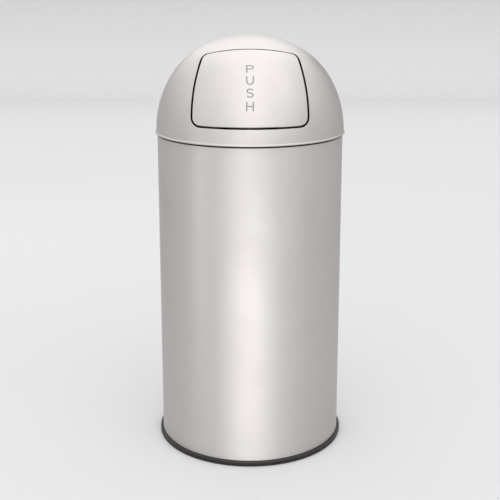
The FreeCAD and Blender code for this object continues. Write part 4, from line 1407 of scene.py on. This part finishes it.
def backdrop():
    """A pale floor that bends up into a wall, so that no edge shows behind the can."""
    bend = arc_points((SWEEP_START, SWEEP), SWEEP, -90, 0, 25)
    profile = [(FLOOR_FRONT, 0.0)] + bend + [(SWEEP_START + SWEEP, BACKDROP_TOP)]
    points = [(x, y, z) for y, z in profile for x in (-BACKDROP_HALF, BACKDROP_HALF)]
    sheet = new_piece("backdrop", points, strip_faces(len(profile), 2))
    paint, tree, shader, _ = new_material("pale backdrop")
    seen = add(tree, "ShaderNodeLightPath").outputs["Is Camera Ray"]
    tone = mix_colours(tree, seen, FLOOR_REFLECTED, FLOOR_SEEN)
    feed(tree, shader, {"Base Color": tone, "Roughness": 0.9, "Specular IOR Level": 0.1})
    sheet.data.materials.append(paint)
    print("backdrop:", len(sheet.data.polygons), "faces")


backdrop()

# %% [markdown]
# ## The lamps
#
# Satin steel shows its surroundings as soft upright bands, so large lamps suit it: a
# strip low in front for the foot, a box at the front right, a narrow strip at the left
# for the edge, and a box behind for the back.

# %% Hang the lamps
def area_lamp(name, place, target, width, height, power, spread=180):
    """A rectangular lamp that looks from its place to its target."""
    data = bpy.data.lights.new(name, "AREA")
    data.shape = "RECTANGLE"
    data.size = width
    data.size_y = height
    data.energy = power
    data.spread = math.radians(spread)
    lamp = bpy.data.objects.new(name, data)
    lamp.location = place
    lamp.rotation_euler = (Vector(target) - Vector(place)).to_track_quat("-Z", "Y").to_euler()
    lamp.visible_camera = False
    bpy.context.scene.collection.objects.link(lamp)


area_lamp("floor_strip", (0.0, -1.3, 0.14), (0, 0, 0.1), 1.5, 0.2, 0.75, spread=70)
area_lamp("right_box", (1.6, -1.2, 1.6), (0, 0, 0.6), 0.9, 0.9, 1.8)
area_lamp("left_strip", (-1.6, -0.9, 0.45), (0, 0, 0.35), 0.25, 0.9, 0.36, spread=120)
area_lamp("back_box", (-0.9, 1.7, 1.5), (0, 0, 0.45), 0.8, 0.8, 1.8)
print("lamps:", [lamp.name for lamp in bpy.data.lights])

# %% [markdown]
# ## The studio round the can
#
# Most of what steel shows comes from all round and not from a lamp. The world is an even
# grey with two soft arches of light that run from the front over the top: the narrow one
# makes the bright stripe down the middle, the wide one the slow fall to the sides. Only
# the camera sees a plain pale grey instead, which keeps the background calm from every
# side: the steel mirrors the arches.

# %% The world
BASE_LIGHT = 0.22
ARCHES = ((0.84, 0.7), (0.65, 1.0))
ARCH_OPENING = 0.4
ARCH_START = (-0.8, 0.1)
OVERHEAD_DROP = 0.25
BACKGROUND_SEEN = 0.86
SKY_COLOUR = (0.99, 0.99, 1.0, 1)


def studio_world():
    """Even grey with arches of light, each given by its strength and its width."""
    world = bpy.data.worlds.new("studio")
    bpy.context.scene.world = world
    world.use_nodes = True
    tree = world.node_tree
    towards = add(tree, "ShaderNodeTexCoord").outputs["Generated"]
    parts = add(tree, "ShaderNodeSeparateXYZ", {0: towards}).outputs
    ahead = math_node(tree, "SUBTRACT", parts[2], parts[1])
    above = math_node(tree, "MAXIMUM", parts[2], 0.0)
    overhead = math_node(tree, "SUBTRACT", 1.0, math_node(tree, "MULTIPLY", above, OVERHEAD_DROP))
    fade = math_node(tree, "MULTIPLY", ranged(tree, ahead, *ARCH_START, kind="SMOOTHSTEP"), overhead)
    opening = math_node(tree, "MULTIPLY", above, ARCH_OPENING)
    light = BASE_LIGHT
    for strength, narrow in ARCHES:
        width = math_node(tree, "ADD", opening, narrow)
        aside = math_node(tree, "POWER", math_node(tree, "DIVIDE", parts[0], width), 2.0)
        strip = math_node(tree, "POWER", math.e, math_node(tree, "MULTIPLY", aside, -1.0))
        glow = math_node(tree, "MULTIPLY", math_node(tree, "MULTIPLY", strip, fade), strength)
        light = math_node(tree, "ADD", light, glow)
    seen = add(tree, "ShaderNodeLightPath").outputs["Is Camera Ray"]
    shown = add(tree, "ShaderNodeMix", {0: seen, 2: light, 3: BACKGROUND_SEEN}, data_type="FLOAT")
    feed(tree, tree.nodes["Background"], {"Color": SKY_COLOUR, "Strength": shown.outputs[0]})
    print("world:", len(tree.nodes), "nodes")


studio_world()

# %% [markdown]
# ## The camera
#
# The can is looked at from a little above, from far enough away that its sides stay
# nearly upright. A small shift of the lens moves it in the picture without tilting it.

# %% The camera
FOCAL_PIXELS = 1002.7
FRAME_PIXELS = 500
SENSOR = 36.0
CAMERA_BACK = 1.7791
CAMERA_HEIGHT = 0.8468
CAMERA_PITCH = 13.39
CAMERA_SHIFT = -0.08
camera_data = bpy.data.cameras.new("camera")
camera_data.sensor_width = SENSOR
camera_data.lens = FOCAL_PIXELS / FRAME_PIXELS * SENSOR
camera_data.shift_y = CAMERA_SHIFT
camera = bpy.data.objects.new("camera", camera_data)
camera.location = (0.0, -CAMERA_BACK, CAMERA_HEIGHT)
camera.rotation_euler = (math.radians(90 - CAMERA_PITCH), 0.0, 0.0)
bpy.context.scene.collection.objects.link(camera)
bpy.context.scene.camera = camera
bpy.context.scene.view_settings.view_transform = "Standard"
print(f"lens: {camera_data.lens:.1f} mm")
